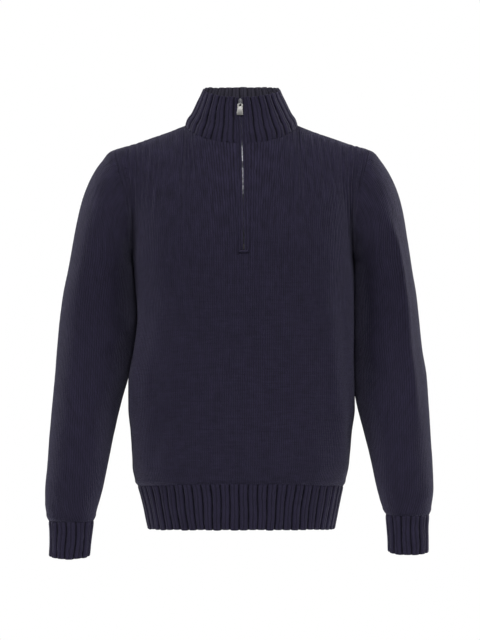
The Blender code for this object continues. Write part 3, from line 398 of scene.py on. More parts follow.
def panel(back, shares, steps):
    """Outside of a body panel above the armpit level, rows up from it. The
    surface runs on under the collar; columns there end at the neck seam."""
    ring, arcs = body_ring(ARMPIT_Z, shares, back)
    _, depth_way, up_way, more_depth, more_up, rise = TOP_WAY[1 if back else 0]
    toward = -1.0 if back else 1.0  # +Y is towards the back of a front panel
    neck_x, _, neck_z = SHOULDER[0]
    shoulder_slope = (SHOULDER[0][2] - SHOULDER[1][2]) / (SHOULDER[1][0] - SHOULDER[0][0])
    fine = np.linspace(0, 1, 401)
    steps = np.asarray(steps, float)
    grid = np.empty((len(steps), len(shares), 3))
    for j, share in enumerate(shares):
        part = abs(share)
        goal = panel_top(share, back)
        start_way = np.array([0, -toward * (0.010 + 0.02 * part) * (0.6 if back else 1.0), 0.205])
        if part < NECK_SHARE - 1e-6:
            inside = max(1 - (goal[0] / neck_x) ** 2, 0)
            end_way = np.array(
                [0, toward * (depth_way + more_depth * inside**2), up_way + more_up * inside**2]
            )
            top = np.array(
                [goal[0], NECK_Y, neck_z + shoulder_slope * neck_x / 2 * inside + rise * inside**2]
            )
            y = hermite(ring[j, 1], start_way[1], top[1], end_way[1], fine)
            stop = float(np.interp(0, (y - goal[1]) * toward, fine))
            top[0] = ring[j, 0] + (goal[0] - ring[j, 0]) / (3 * stop**2 - 2 * stop**3)
            gap = goal - hermite(ring[j], start_way, top, end_way, stop)
        else:
            top, stop, gap = goal, 1.0, np.zeros(3)
            end_way = np.array([0, toward * depth_way, up_way])
        t = (steps * stop)[:, None]
        grid[:, j] = hermite(ring[j], start_way, top, end_way, t) + gap * steps[:, None] ** 3
    for i, t in enumerate(steps):
        power = 4.5 + 10 * (1 - t) ** 3
        for index, side in ((0, -1), (-1, 1)):
            pull = armhole_point(t, side, back) - grid[i, index]
            near = np.where(shares * side > 0, np.abs(shares), 0.0) ** power
            grid[i] += near[:, None] * pull
    return grid, arcs


def panel_shares():
    edge = SLOT / 2 / 0.262
    neck = np.linspace(edge, NECK_SHARE, NECK_CELLS + 1)
    t = np.linspace(0, 1, SHOULDER_CELLS + 1)[1:]
    shoulder = NECK_SHARE + (1 - NECK_SHARE) * (0.35 * t + 0.65 * (1 - (1 - t) ** 2))
    side = np.concatenate([neck, shoulder])
    return np.concatenate([-side[::-1], side])


def body_panel(back):
    """Whole outside of a panel, rows up from the rib seam, columns from left
    to right, with the slit's two edges as the middle columns."""
    shares = panel_shares()
    low, arcs = [], []
    for z in LOW_LEVELS[:-1]:
        ring, arc = body_ring(z, shares, back)
        low.append(ring)
        arcs.append(arc)
    t = np.linspace(0, 1, HIGH_CELLS + 1)
    steps = 0.55 * t + 0.45 * (1 - (1 - t) ** 2)
    high, arc = panel(back, shares, steps)
    grid = np.concatenate([np.array(low), high])
    arcs = np.concatenate([np.array(arcs), np.repeat(arc[None], len(steps), 0)])
    normals = outward(grid, grid_normals(grid), (0, 0))
    fade = smoothstep(HEM_TOP_Z, HEM_TOP_Z + 0.03, grid[..., 2]) * smoothstep(-0.10, -0.25, grid[..., 2])
    height = folds(BACK_FOLDS if back else FRONT_FOLDS, arcs, grid[..., 2]) * fade
    height *= smoothstep(1.0, 0.9, np.abs(shares))[None]
    grid = grid + normals * height[..., None]
    if not back:
        near = (1 - np.abs(shares)) ** 2
        grid[..., 0] += lean(grid[..., 2]) * near[None]
        rows = range(len(LOW_LEVELS) - 1, len(grid))
        for column_index, sign in ((SIDE_CELLS, -1), (SIDE_CELLS + 1, 1)):
            for row in rows:
                grid[row, column_index, 0] = lean(grid[row, column_index, 2]) + sign * SLOT / 2
        # the slit ends just under the zip
        for column_index in (SIDE_CELLS, SIDE_CELLS + 1):
            low = grid[rows[0], column_index]
            up = grid[rows[1], column_index]
            share = (ZIP_END_Z - 0.0035 - low[2]) / (up[2] - low[2])
            grid[rows[0], column_index] = low + (up - low) * share
    return grid, shares


def band(back, levels):
    """Outside of half a rib band around the body."""
    return np.array([body_ring(z, panel_shares(), back)[0] for z in levels])


# ---------------------------------------------------------------- sleeves
def sleeve_ring(table, z, turns, side):
    """Ring of a sleeve; turns in degrees from the outer side over the front."""
    at = lambda name: float(read(table, SLEEVE_COLUMNS, name, z))
    outer, inner, middle, depth, square = (at(n) for n in SLEEVE_COLUMNS[1:])
    centre, half = (outer + inner) / 2, (outer - inner) / 2
    points = np.empty((len(turns), 3))
    for i, turn in enumerate(turns):
        turn = turn % 360
        fold_turn = turn if turn <= 180 else 360 - turn
        share = 1 - abs(fold_turn - 90) / 90
        # share of the quarter from its side (0) to its front (1)
        across, forward, _ = quarter(half, depth, square, np.array([1 - share]))
        x = across[0] if fold_turn <= 90 else -across[0]
        y = -forward[0] if turn <= 180 else forward[0]
        inner_side = max(-math.cos(math.radians(turn)), 0) ** 2
        fade = float(smoothstep(-0.62, -0.45, z) * smoothstep(-0.245, -0.31, z))
        points[i] = (side * (centre + x), middle + y + INNER_BACK * inner_side * fade, z)
    return points


def clear_of_body(points, side, gap):
    """Moves points that are nearer to the body than gap away from it."""
    for p in points.reshape(-1, 3):
        z = min(p[2], ARMPIT_Z)
        at = lambda name: float(read(BODY, BODY_COLUMNS, name, z))
        half = at("left" if side < 0 else "right") + gap
        depth = (at("front") if p[1] < 0 else at("back")) + gap
        square = at("square")
        inside = (abs(p[0]) / half) ** square + (abs(p[1]) / depth) ** square
        if inside < 1:
            room = max(1 - (abs(p[1]) / depth) ** square, 0) ** (1 / square)
            p[0] = side * half * room


def sleeve(side, table, levels, cap_steps):
    """Outside of a sleeve, rows down from the armhole, columns around from
    the armpit over the front to the shoulder and down the back."""
    up = np.linspace(0, 1, HIGH_CELLS + 1)
    front = [armhole_point(t, side, False) for t in up]
    rear = [armhole_point(t, side, True) for t in up[::-1]][1:-1]
    start = np.array(front + rear)
    turns = np.concatenate([180 * (1 - up), 360 - 180 * (1 - up[::-1][1:-1])]) % 360
    first = sleeve_ring(table, levels[0], turns, side)
    second = sleeve_ring(table, levels[0] - 0.02, turns, side)
    clear_of_body(first, side, 0.0012)
    down = unit(second - first)
    reach = np.linalg.norm(first - start, axis=1, keepdims=True)
    top = 0.5 + 0.5 * np.cos(np.radians(turns))[:, None]  # 1 at the shoulder
    fore = np.sin(np.radians(turns))[:, None]  # 1 at the front
    away = np.concatenate(
        [
            side * (0.42 + 0.38 * top),
            -0.10 * fore,
            -(0.86 - 0.26 * top) + 0 * fore,
        ],
        1,
    )
    rows = []
    for t in cap_steps:
        row = hermite(start, away * reach * 1.05, first, down * reach * 0.95, t)
        rows.append(row)
    grid = np.array(rows + [sleeve_ring(table, z, turns, side) for z in levels[1:]])
    for row in grid[1:]:
        clear_of_body(row, side, 0.0012)
    # the underarm starts a little outside the side seam
    low = smoothstep(0.35, 0.05, top[:, 0])
    grid[0, :, 0] += side * 0.0004 * low
    return grid, turns


def tube_levels(table, count, power=1.0):
    z = column(table, SLEEVE_COLUMNS, "z")
    return z[0] + (z[-1] - z[0]) * np.linspace(0, 1, count) ** power


# ---------------------------------------------------------------- collar
def collar_point(angle, share):
    a = math.radians(abs(angle))
    at = lambda name: float(read(COLLAR, COLLAR_COLUMNS, name, share))
    depth = at("front") if abs(angle) <= 90 else at("back")
    seam = float(read(RIM, RIM_COLUMNS, "seam", abs(angle)))
    rim = float(read(RIM, RIM_COLUMNS, "rim", abs(angle)))
    z = seam + (rim - seam) * share
    x = math.copysign(at("half") * math.sin(a), angle)
    x += float(lean(z)) * max(math.cos(a), 0) ** 2
    return np.array([x, NECK_Y - depth * math.cos(a), z])


def collar_grid(rows):
    """Columns meet those of the panels at the neck seam."""
    quarter_turn = panel_shares()[SIDE_CELLS + 1 : SIDE_CELLS + 2 + NECK_CELLS] / NECK_SHARE * 90
    grid = []
    for share in np.linspace(0, 1, rows + 1):
        half = float(read(COLLAR, COLLAR_COLUMNS, "half", share))
        start = math.degrees(math.asin(SLOT / 2 / half))
        right = np.concatenate([[start], quarter_turn[1:], 180 - quarter_turn[-2::-1]])
        turns = np.concatenate([right, 360 - right[::-1]])
        row = [collar_point(t if t <= 180 else t - 360, share) for t in turns]
        for index, sign in ((0, 1), (-1, -1)):
            row[index][0] = float(lean(row[index][2])) + sign * SLOT / 2
        grid.append(row)
    return np.array(grid)


# mesh density
NECK_CELLS, SHOULDER_CELLS = 34, 54
SIDE_CELLS = NECK_CELLS + SHOULDER_CELLS
LOW_LEVELS = tuple(HEM_TOP_Z + (ARMPIT_Z - HEM_TOP_Z) * (0.35 * t + 0.65 * t * t) for t in np.linspace(0, 1, 92))
HIGH_CELLS = 58
GARMENT, PULL = "garment", "zip_pull"

# knit: size of one stitch
WALE, COURSE = 0.00383, 0.0029

# ribs: how many on each band, and where the first groove lies
RIB_COLUMNS = ("piece", "ribs", "first", "relief")
RIBS = (
    ("hem_rib_front", 29.5, 0.5, 0.0036),
    ("hem_rib_back", 28.5, 0.5, 0.0036),
    ("collar", 30.0, -0.25, 0.0034),
    ("cuff_left", 14.0, -3.14, 0.0032),
    ("cuff_right", 14.0, -3.34, 0.0032),
)
RIB_SAMPLES = 12  # columns of the mesh for each rib

# softer folds on top of the frame's own, same map and columns
FRONT_SOFT = (
    (0.070, -0.300, 0.120, -0.600, 0.020, 0.0016),
    (-0.060, -0.380, -0.105, -0.600, 0.022, -0.0014),
    (0.020, -0.420, 0.028, -0.605, 0.019, 0.0012),
    (-0.200, -0.215, -0.120, -0.262, 0.010, 0.0016),
    (0.205, -0.212, 0.130, -0.258, 0.010, 0.0016),
    (-0.212, -0.250, -0.140, -0.318, 0.011, -0.0013),
    (0.215, -0.248, 0.150, -0.310, 0.011, -0.0014),
    (0.120, -0.585, 0.190, -0.560, 0.010, 0.0016),
    (-0.110, -0.590, -0.185, -0.570, 0.010, 0.0014),
    (-0.150, -0.310, -0.182, -0.500, 0.009, 0.0012),
)
BACK_SOFT = (
    (0.040, -0.300, 0.030, -0.600, 0.026, 0.0018),
    (-0.050, -0.340, -0.080, -0.600, 0.024, -0.0016),
    (0.110, -0.240, 0.150, -0.420, 0.016, 0.0016),
    (-0.115, -0.235, -0.140, -0.400, 0.016, -0.0016),
    (0.205, -0.215, 0.120, -0.280, 0.012, 0.0018),
    (-0.205, -0.215, -0.125, -0.275, 0.012, 0.0018),
    (0.070, -0.590, 0.150, -0.570, 0.010, 0.0016),
    (-0.060, -0.592, -0.130, -0.566, 0.010, 0.0014),
)
# folds of the sleeves on a map of turn in degrees and height, as
# (turn0, z0, turn1, z1, width in metres, depth)
SLEEVE_FOLDS_LEFT = (
    (150, -0.330, 95, -0.372, 0.010, 0.0026),
    (155, -0.375, 100, -0.405, 0.010, -0.0022),
    (160, -0.415, 95, -0.452, 0.012, 0.0024),
    (150, -0.470, 110, -0.498, 0.011, -0.0016),
    (60, -0.250, 72, -0.560, 0.013, 0.0016),
    (200, -0.350, 250, -0.400, 0.012, -0.0022),
    (205, -0.410, 262, -0.440, 0.012, 0.0022),
    (290, -0.300, 310, -0.560, 0.015, 0.0018),
    (80, -0.600, 125, -0.640, 0.008, 0.0016),
    (30, -0.622, 85, -0.648, 0.008, -0.0014),
    (250, -0.610, 300, -0.645, 0.008, 0.0016),
)
SLEEVE_FOLDS_RIGHT = (
    (64, -0.150, 57, -0.330, 0.0055, 0.0046),
    (57, -0.300, 54, -0.500, 0.0065, 0.0044),
    (88, -0.200, 78, -0.470, 0.013, -0.0032),
    (150, -0.340, 105, -0.390, 0.011, 0.0022),
    (158, -0.395, 110, -0.430, 0.011, -0.0022),
    (150, -0.450, 100, -0.490, 0.011, 0.0018),
    (205, -0.330, 260, -0.380, 0.012, 0.0022),
    (210, -0.400, 270, -0.430, 0.012, -0.0020),
    (300, -0.260, 305, -0.520, 0.014, 0.0018),
    (70, -0.595, 118, -0.632, 0.008, 0.0016),
    (20, -0.610, 70, -0.640, 0.008, 0.0014),
    (240, -0.600, 300, -0.636, 0.008, -0.0014),
)


# ---------------------------------------------------------------- node helpers
class Nodes:
    """Short names for the nodes of one material."""

    def __init__(self, name):
        self.material = bpy.data.materials.new(name)
        self.material.use_nodes = True
        self.tree = self.material.node_tree
        self.shader = self.tree.nodes["Principled BSDF"]

    def put(self, socket, value):
        if isinstance(value, bpy.types.NodeSocket):
            self.tree.links.new(value, socket)
        else:
            socket.default_value = value

    def math(self, operation, a, b=0.0, c=0.0):
        node = self.tree.nodes.new("ShaderNodeMath")
        node.operation = operation
        for socket, value in zip(node.inputs, (a, b, c)):
            self.put(socket, value)
        return node.outputs[0]

    def noise(self, coords, scale, detail=2.0, rough=0.5):
        node = self.tree.nodes.new("ShaderNodeTexNoise")
        self.put(node.inputs["Vector"], coords)
        node.inputs["Scale"].default_value = scale
        node.inputs["Detail"].default_value = detail
        node.inputs["Roughness"].default_value = rough
        return node.outputs["Fac"]

    def ramp(self, value, low, high, to_low, to_high):
        node = self.tree.nodes.new("ShaderNodeMapRange")
        self.put(node.inputs["Value"], value)
        node.inputs["From Min"].default_value = low
        node.inputs["From Max"].default_value = high
        node.inputs["To Min"].default_value = to_low
        node.inputs["To Max"].default_value = to_high
        return node.outputs["Result"]

    def join(self, x, y):
        node = self.tree.nodes.new("ShaderNodeCombineXYZ")
        self.put(node.inputs[0], x)
        self.put(node.inputs[1], y)
        return node.outputs[0]

    def place(self):
        return self.tree.nodes.new("ShaderNodeTexCoord").outputs["Object"]

    def shade(self, color, factor):
        """The colour times a factor."""
        mix = self.tree.nodes.new("ShaderNodeVectorMath")
        mix.operation = "SCALE"
        mix.inputs[0].default_value = color
        self.put(mix.inputs["Scale"], factor)
        self.tree.links.new(mix.outputs[0], self.shader.inputs["Base Color"])

    def bump(self, height, distance, strength=1.0):
        node = self.tree.nodes.new("ShaderNodeBump")
        node.inputs["Distance"].default_value = distance
        node.inputs["Strength"].default_value = strength
        self.put(node.inputs["Height"], height)
        self.tree.links.new(node.outputs[0], self.shader.inputs["Normal"])


NAVY = (0.0128, 0.0108, 0.0240)


def knit_material(name, color, stitch=0.0012, dark=0.30, sheen=0.26, mottle=0.20, ribbed=False):
    """Plain knit: a column of V-shaped stitches for each whole step of the
    map's first number, one course for each whole step of its second."""
    n = Nodes(name)
    uv = n.tree.nodes.new("ShaderNodeUVMap")
    uv.uv_map = "knit"
    split = n.tree.nodes.new("ShaderNodeSeparateXYZ")
    n.tree.links.new(uv.outputs[0], split.inputs[0])
    place = n.place()
    where = n.tree.nodes.new("ShaderNodeSeparateXYZ")
    n.tree.links.new(place, where.inputs[0])
    wander = n.math("MULTIPLY", n.math("SUBTRACT", n.noise(place, 140, 1.0), 0.5), 0.45)
    u = n.math("ADD", split.outputs[0], wander)
    v = n.math("ADD", split.outputs[1], n.math("MULTIPLY", wander, 1.2))
    across = n.math("MULTIPLY", n.math("ABSOLUTE", n.math("SUBTRACT", n.math("FRACT", u), 0.5)), 2.0)
    column = n.math("SUBTRACT", 1.0, n.math("POWER", across, 3.0))
    side = n.math("SUBTRACT", n.math("MULTIPLY", across, 2.0), 1.0)
    leg = n.math("SUBTRACT", 1.0, n.math("MULTIPLY", side, side))
    up = n.math("FRACT", n.math("ADD", v, n.math("MULTIPLY", across, 0.62)))
    swing = n.math("SUBTRACT", n.math("MULTIPLY", up, 2.0), 1.0)
    yarn = n.math("SQRT", n.math("MAXIMUM", n.math("SUBTRACT", 1.0, n.math("MULTIPLY", swing, swing)), 0.0))
    body = n.math("MULTIPLY", n.math("MULTIPLY", column, n.math("ADD", 0.72, n.math("MULTIPLY", leg, 0.28))),
                  n.math("ADD", 0.50, n.math("MULTIPLY", yarn, 0.50)))
    fluff = n.noise(place, 1500, 3.0, 0.7)
    # uneven tension: long marks along the wales near the yoke, short bands
    # along the courses lower down
    wales = n.noise(n.join(n.math("MULTIPLY", split.outputs[0], 0.62), n.math("MULTIPLY", split.outputs[1], 0.11)), 1.0, 2.0, 0.6)
    courses = n.noise(n.join(n.math("MULTIPLY", split.outputs[0], 0.13), n.math("MULTIPLY", split.outputs[1], 0.80)), 1.0, 2.0, 0.6)
    upper = n.ramp(where.outputs[2], -0.36, -0.10, 0.30, 1.0)
    lower = n.math("SUBTRACT", 1.15, upper)
    streak = n.math("ADD", n.math("MULTIPLY", n.math("SUBTRACT", wales, 0.5), n.math("MULTIPLY", upper, 0.35 if ribbed else 1.0)),
                    n.math("MULTIPLY", n.math("SUBTRACT", courses, 0.5), n.math("MULTIPLY", lower, 0.10 if ribbed else 0.75)))
    height = n.math("ADD", n.math("ADD", body, n.math("MULTIPLY", fluff, 0.30)), n.math("MULTIPLY", streak, 1.6))
    n.bump(height, stitch, 0.9)
    # painted shade: the colour runs from the dark value in the gaps between stitches up to 1.25 on the yarn's top
    tone = n.ramp(body, 0.0, 1.0, dark, 1.25)
    spots = n.ramp(n.noise(place, 55, 4.0, 0.65), 0.3, 0.7, 1 - mottle / 2, 1 + mottle / 2)
    fine = n.ramp(fluff, 0.2, 0.8, 0.84, 1.16)
    tone = n.math("MULTIPLY", tone, n.math("ADD", 1.0, n.math("MULTIPLY", streak, 1.5)))
    # painted shade: ribbed pieces get darker towards each groove between the ribs, down to 0.40 of their colour
    if ribbed:
        rib = n.math("ABSOLUTE", n.math("SUBTRACT", n.math("FRACT", n.math("MULTIPLY", split.outputs[0], 0.5)), 0.5))
        tone = n.math("MULTIPLY", tone, n.ramp(n.math("POWER", n.math("MULTIPLY", rib, 2.0), 5.0), 0.0, 1.0, 1.04, 0.40))
    n.shade(color, n.math("MULTIPLY", tone, n.math("MULTIPLY", spots, fine)))
    shader = n.shader
    shader.inputs["Roughness"].default_value = 0.88
    shader.inputs["Specular IOR Level"].default_value = 0.10
    shader.inputs["Sheen Weight"].default_value = sheen
    shader.inputs["Sheen Roughness"].default_value = 0.30
    shader.inputs["Sheen Tint"].default_value = (0.30, 0.29, 0.42, 1)
    return n.material


def tape_material():
    n = Nodes("zip_tape_weave")
    place = n.place()
    split = n.tree.nodes.new("ShaderNodeSeparateXYZ")
    n.tree.links.new(place, split.inputs[0])
    warp = n.math("SINE", n.math("MULTIPLY", split.outputs[0], 2 * math.pi / 0.0007))
    weft = n.math("SINE", n.math("MULTIPLY", split.outputs[2], 2 * math.pi / 0.0006))
    weave = n.math("MULTIPLY", warp, weft)
    n.bump(weave, 0.0002, 0.7)
    n.shade((0.011, 0.0105, 0.017), n.ramp(weave, -1, 1, 0.7, 1.25))
    n.shader.inputs["Roughness"].default_value = 0.8
    n.shader.inputs["Specular IOR Level"].default_value = 0.3
    return n.material


def metal_material(name, color, rough, grain=900.0, wear_and_glint=0.25):
    n = Nodes(name)
    place = n.place()
    stretch = n.tree.nodes.new("ShaderNodeMapping")
    stretch.inputs["Scale"].default_value = (1.0, 1.0, 0.06)
    n.tree.links.new(place, stretch.inputs["Vector"])
    lines = n.noise(stretch.outputs[0], grain * 3, 3.0, 0.6)
    spots = n.noise(place, grain, 4.0, 0.6)
    n.bump(lines, 0.00006, 0.6)
    # colour spots: wear, and where the value is large, as on the zip teeth, painted glints
    n.shade(color, n.ramp(spots, 0.3, 0.7, 1 - wear_and_glint, 1 + wear_and_glint * 0.4))
    n.put(n.shader.inputs["Roughness"], n.ramp(lines, 0.3, 0.7, rough - 0.08, rough + 0.1))
    n.shader.inputs["Metallic"].default_value = 1.0
    return n.material


KNIT = knit_material("navy_knit", NAVY)
RIB_KNIT = knit_material("navy_rib", tuple(0.90 * c for c in NAVY), 0.0010, 0.42, 0.22, 0.22, True)
# painted light: a lighter copy of the rib knit for the collar's inside, standing in for the light that falls into the
# collar
COLLAR_INSIDE_PAINTED_LIGHT = knit_material("navy_rib_inside_painted_light", (0.0270, 0.0250, 0.0370), 0.0010, 0.5, 0.26, 0.22, True)
EDGE_KNIT = knit_material("navy_edging", NAVY, 0.0008, 0.4, 0.24, 0.2)
TAPE = tape_material()
PULL_METAL = metal_material("pull_metal", (0.25, 0.245, 0.235), 0.40)
SLIDER_METAL = metal_material("slider_metal", (0.075, 0.075, 0.08), 0.36)
# painted shade: this dark copy of the teeth's metal is for where the knitted edges close over the teeth; the bright
# copy below is a painted glint for the open stretches
TEETH_SHADE_METAL = metal_material("teeth_painted_shade", (0.085, 0.085, 0.095), 0.36, 260.0, 0.8)
TEETH_GLINT_METAL = metal_material("teeth_painted_glint", (0.52, 0.52, 0.58), 0.30, 260.0, 0.9)
STOP_METAL = metal_material("stop_metal", (0.14, 0.13, 0.12), 0.38)


# ---------------------------------------------------------------- mesh helpers
def finish_mesh(name, verts, faces, material, uv=None, body=GARMENT, angle=60):
    """Object from numpy points and quads; uv holds a pair for each corner."""
    mesh = bpy.data.meshes.new(name)
    faces = np.asarray(faces, np.int64)
    mesh.vertices.add(len(verts))
    mesh.vertices.foreach_set("co", np.asarray(verts, np.float32).ravel())
    mesh.loops.add(faces.size)
    mesh.loops.foreach_set("vertex_index", faces.ravel().astype(np.int32))
    mesh.polygons.add(len(faces))
    mesh.polygons.foreach_set("loop_start", np.arange(0, faces.size, faces.shape[1], dtype=np.int32))
    mesh.update(calc_edges=True)
    if uv is not None:
        layer = mesh.uv_layers.new(name="knit")
        layer.data.foreach_set("uv", np.asarray(uv, np.float32).ravel())
    mesh.validate()
    mesh.shade_smooth()
    if angle < 180:
        mesh.set_sharp_from_angle(angle=math.radians(angle))
    mesh.materials.append(material)
    thing = bpy.data.objects.new(name, mesh)
    bpy.context.scene.collection.objects.link(thing)
    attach(thing, body)
    return thing


def signed_volume(verts, faces):
    v = np.asarray(verts)
    f = np.asarray(faces)
    a, b, c, d = (v[f[:, k]] for k in range(4))
    return float(np.sum(np.cross(a, b) * c) + np.sum(np.cross(a, c) * d)) / 6


def cloth(name, outer, inner, u, v, material, around=False, keep=None, body=GARMENT, angle=75):
    """Closed shell between two grids. u and v hold the knit map at the grid's
    points, with one column more than the grid where it runs all round."""
    rows, cols = outer.shape[:2]
    cells = cols if around else cols - 1
    keep = np.ones((rows - 1, cells), bool) if keep is None else keep
    ii, jj = np.nonzero(keep)
    size = rows * cols

    def corner(i, j, shell):
        return shell * size + i * cols + j % cols

    def quads(pairs, shells):
        index = np.stack([corner(i, j, s) for (i, j), s in zip(pairs, shells)], 1)
        maps = np.stack([np.stack([u[i, j], v[i, j]], 1) for i, j in pairs], 1)
        return index, maps

    parts = [
        quads([(ii, jj), (ii, jj + 1), (ii + 1, jj + 1), (ii + 1, jj)], (0, 0, 0, 0)),
        quads([(ii, jj), (ii + 1, jj), (ii + 1, jj + 1), (ii, jj + 1)], (1, 1, 1, 1)),
    ]

    def beside(di, dj):
        a, b = ii + di, jj + dj
        if around:
            b = b % cells
        inside = (a >= 0) & (a < rows - 1) & (b >= 0) & (b < cells)
        full = np.zeros(len(ii), bool)
        full[inside] = keep[a[inside], b[inside]]
        return ~full

    for di, dj, pairs in (
        (-1, 0, lambda i, j: ((i, j), (i, j), (i, j + 1), (i, j + 1))),
        (1, 0, lambda i, j: ((i + 1, j + 1), (i + 1, j + 1), (i + 1, j), (i + 1, j))),
        (0, -1, lambda i, j: ((i + 1, j), (i + 1, j), (i, j), (i, j))),
        (0, 1, lambda i, j: ((i, j + 1), (i, j + 1), (i + 1, j + 1), (i + 1, j + 1))),
    ):
        free = beside(di, dj)
        if free.any():
            parts.append(quads(pairs(ii[free], jj[free]), (0, 1, 1, 0)))
    faces = np.concatenate([p[0] for p in parts])
    maps = np.concatenate([p[1] for p in parts])
    verts = np.concatenate([outer.reshape(-1, 3), inner.reshape(-1, 3)])
    if signed_volume(verts, faces) < 0:
        faces, maps = faces[:, ::-1], maps[:, ::-1]
    used = np.unique(faces)
    renumber = np.full(len(verts), -1)
    renumber[used] = np.arange(len(used))
    return finish_mesh(name, verts[used], renumber[faces], material, maps.reshape(-1, 2), body, angle)


def tube(name, line, radius, material, closed=False, sides=8, squash=1.0, normal=None, body=GARMENT):
    """Round bar along a line of points."""
    line = np.asarray(line, float)
    count = len(line)
    if closed:
        way = np.roll(line, -1, 0) - np.roll(line, 1, 0)
    else:
        way = np.gradient(line, axis=0)
    way = unit(way)
    side = np.array([0.0, 0.0, 1.0]) if normal is None else np.asarray(normal, float)
    side = np.broadcast_to(side, line.shape)
    a = unit(np.cross(way, side))
    b = unit(np.cross(a, way))
    turn = np.linspace(0, 2 * np.pi, sides, endpoint=False)
    radius = np.broadcast_to(np.asarray(radius, float), (count,))[:, None, None]
    ring = line[:, None] + radius * (a[:, None] * np.cos(turn)[None, :, None] + b[:, None] * np.sin(turn)[None, :, None] * squash)
    verts = ring.reshape(-1, 3)
    rows = count if closed else count - 1
    i, j = np.meshgrid(np.arange(rows), np.arange(sides), indexing="ij")
    i, j = i.ravel(), j.ravel()
    k = (i + 1) % count
    faces = np.stack([i * sides + j, i * sides + (j + 1) % sides, k * sides + (j + 1) % sides, k * sides + j], 1)
    run = np.concatenate([[0], np.cumsum(np.linalg.norm(np.diff(line, axis=0), axis=1))])
    run = np.append(run, run[-1] + 0.002)
    uv = np.stack(
        [
            np.stack([j / sides * 2, run[i] / 0.0022], 1),
            np.stack([(j + 1) / sides * 2, run[i] / 0.0022], 1),
            np.stack([(j + 1) / sides * 2, run[i + 1] / 0.0022], 1),
            np.stack([j / sides * 2, run[i + 1] / 0.0022], 1),
        ],
        1,
    )
    if not closed:
        verts = np.concatenate([verts, line[:1], line[-1:]])
        j = np.arange(sides)
        low = np.stack([np.full(sides, count * sides), (j + 1) % sides, j, j], 1)
        # caps as quads made of two neighbouring wedges
        j = np.arange(0, sides, 2)
        first = np.stack([np.full(len(j), count * sides), (j + 2) % sides, j + 1, j], 1)
        base = (count - 1) * sides
        last = np.stack([np.full(len(j), count * sides + 1), base + j, base + j + 1, base + (j + 2) % sides], 1)
        faces = np.concatenate([faces, first, last])
        uv = np.concatenate([uv, np.zeros((2 * len(j), 4, 2))])
    if signed_volume(verts, faces) < 0:
        faces, uv = faces[:, ::-1], uv[:, ::-1]
    return finish_mesh(name, verts, faces, material, uv.reshape(-1, 2), body, 180)


def ripple(grid, scale, seed):
    """Low uneven swell of a surface, from a few waves."""
    rng = np.random.default_rng(seed)
    total = np.zeros(grid.shape[:2])
    for _ in range(9):
        way = rng.normal(size=3)
        way /= np.linalg.norm(way)
        wave = scale * (0.6 + 0.9 * rng.random())
        total += np.sin(grid @ way * 2 * np.pi / wave + rng.random() * 6.28) * (wave / scale) ** 0.7
    return total / 9


# ---------------------------------------------------------------- body panels
def panel_surface(back):
    """Fine outside of a panel, its normals, and its knit map."""
    grid, shares = body_panel(back)
    normals = outward(grid, grid_normals(grid), (0, 0))
    arcs = np.cumsum(
        np.concatenate([np.zeros((len(grid), 1)), np.linalg.norm(np.diff(grid, axis=1), axis=2)], 1), 1
    )
    arcs -= (arcs[:, SIDE_CELLS : SIDE_CELLS + 1] + arcs[:, SIDE_CELLS + 1 : SIDE_CELLS + 2]) / 2
    rise = np.cumsum(
        np.concatenate([np.zeros((1, grid.shape[1])), np.linalg.norm(np.diff(grid, axis=0), axis=2)], 0), 0
    )
    low = len(LOW_LEVELS) - 1
    table = BACK_SOFT if back else FRONT_SOFT
    steady = np.repeat(arcs[low : low + 1], len(grid), 0)
    height = folds(table, np.where(grid[..., 2] < ARMPIT_Z, arcs, steady), grid[..., 2])
    part = np.abs(shares)[None]
    height *= smoothstep(1.0, 0.93, part)
    height += 0.0005 * ripple(grid, 0.055, 5 if back else 3) + 0.0002 * ripple(grid, 0.016, 9)
    # creases that the wales draw from the collar down
    height += yoke_creases(part, shares[None], rise, grid, back)
    # the cloth dips where it is sewn on
    edge_low = rise
    height -= 0.0016 * np.exp(-((edge_low / 0.0035) ** 2))
    height += 0.0007 * np.exp(-(((edge_low - 0.008) / 0.004) ** 2))
    up = rise[-1:] - rise
    neck = smoothstep(NECK_SHARE + 0.02, NECK_SHARE - 0.02, part)
    height -= (0.0012 - 0.0009 * neck) * np.exp(-((up / 0.0034) ** 2))
    height += (0.0005 - 0.0003 * neck) * np.exp(-(((up - 0.0075) / 0.0034) ** 2))
    out = np.where(shares[None] < 0, arcs - arcs[:, :1], arcs[:, -1:] - arcs)
    seam = smoothstep(-0.26, -0.20, grid[..., 2])
    crisp = smoothstep(-0.13, -0.10, grid[..., 2]) * smoothstep(-0.045, -0.062, grid[..., 2])
    tip = smoothstep(-0.075, -0.045, grid[..., 2])
    height -= (0.0006 + 0.0010 * seam * (1 - 0.8 * tip) + 0.0012 * crisp) * np.exp(-((out / 0.0030) ** 2))
    height += (0.0007 * seam * (1 - tip) + 0.0004 * crisp) * np.exp(-(((out - 0.0085) / 0.004) ** 2))
    if not back:
        near = np.abs(arcs) - SLOT / 2
        zone = smoothstep(ZIP_END_Z - 0.012, ZIP_END_Z + 0.004, grid[..., 2])
        height -= 0.0008 * zone * np.exp(-((near / 0.003) ** 2))
    grid = grid + normals * height[..., None]
    u = shares[None] * (0.262 / WALE) + 0 * grid[..., 2]
    v = rise / COURSE
    return grid, u, v, shares


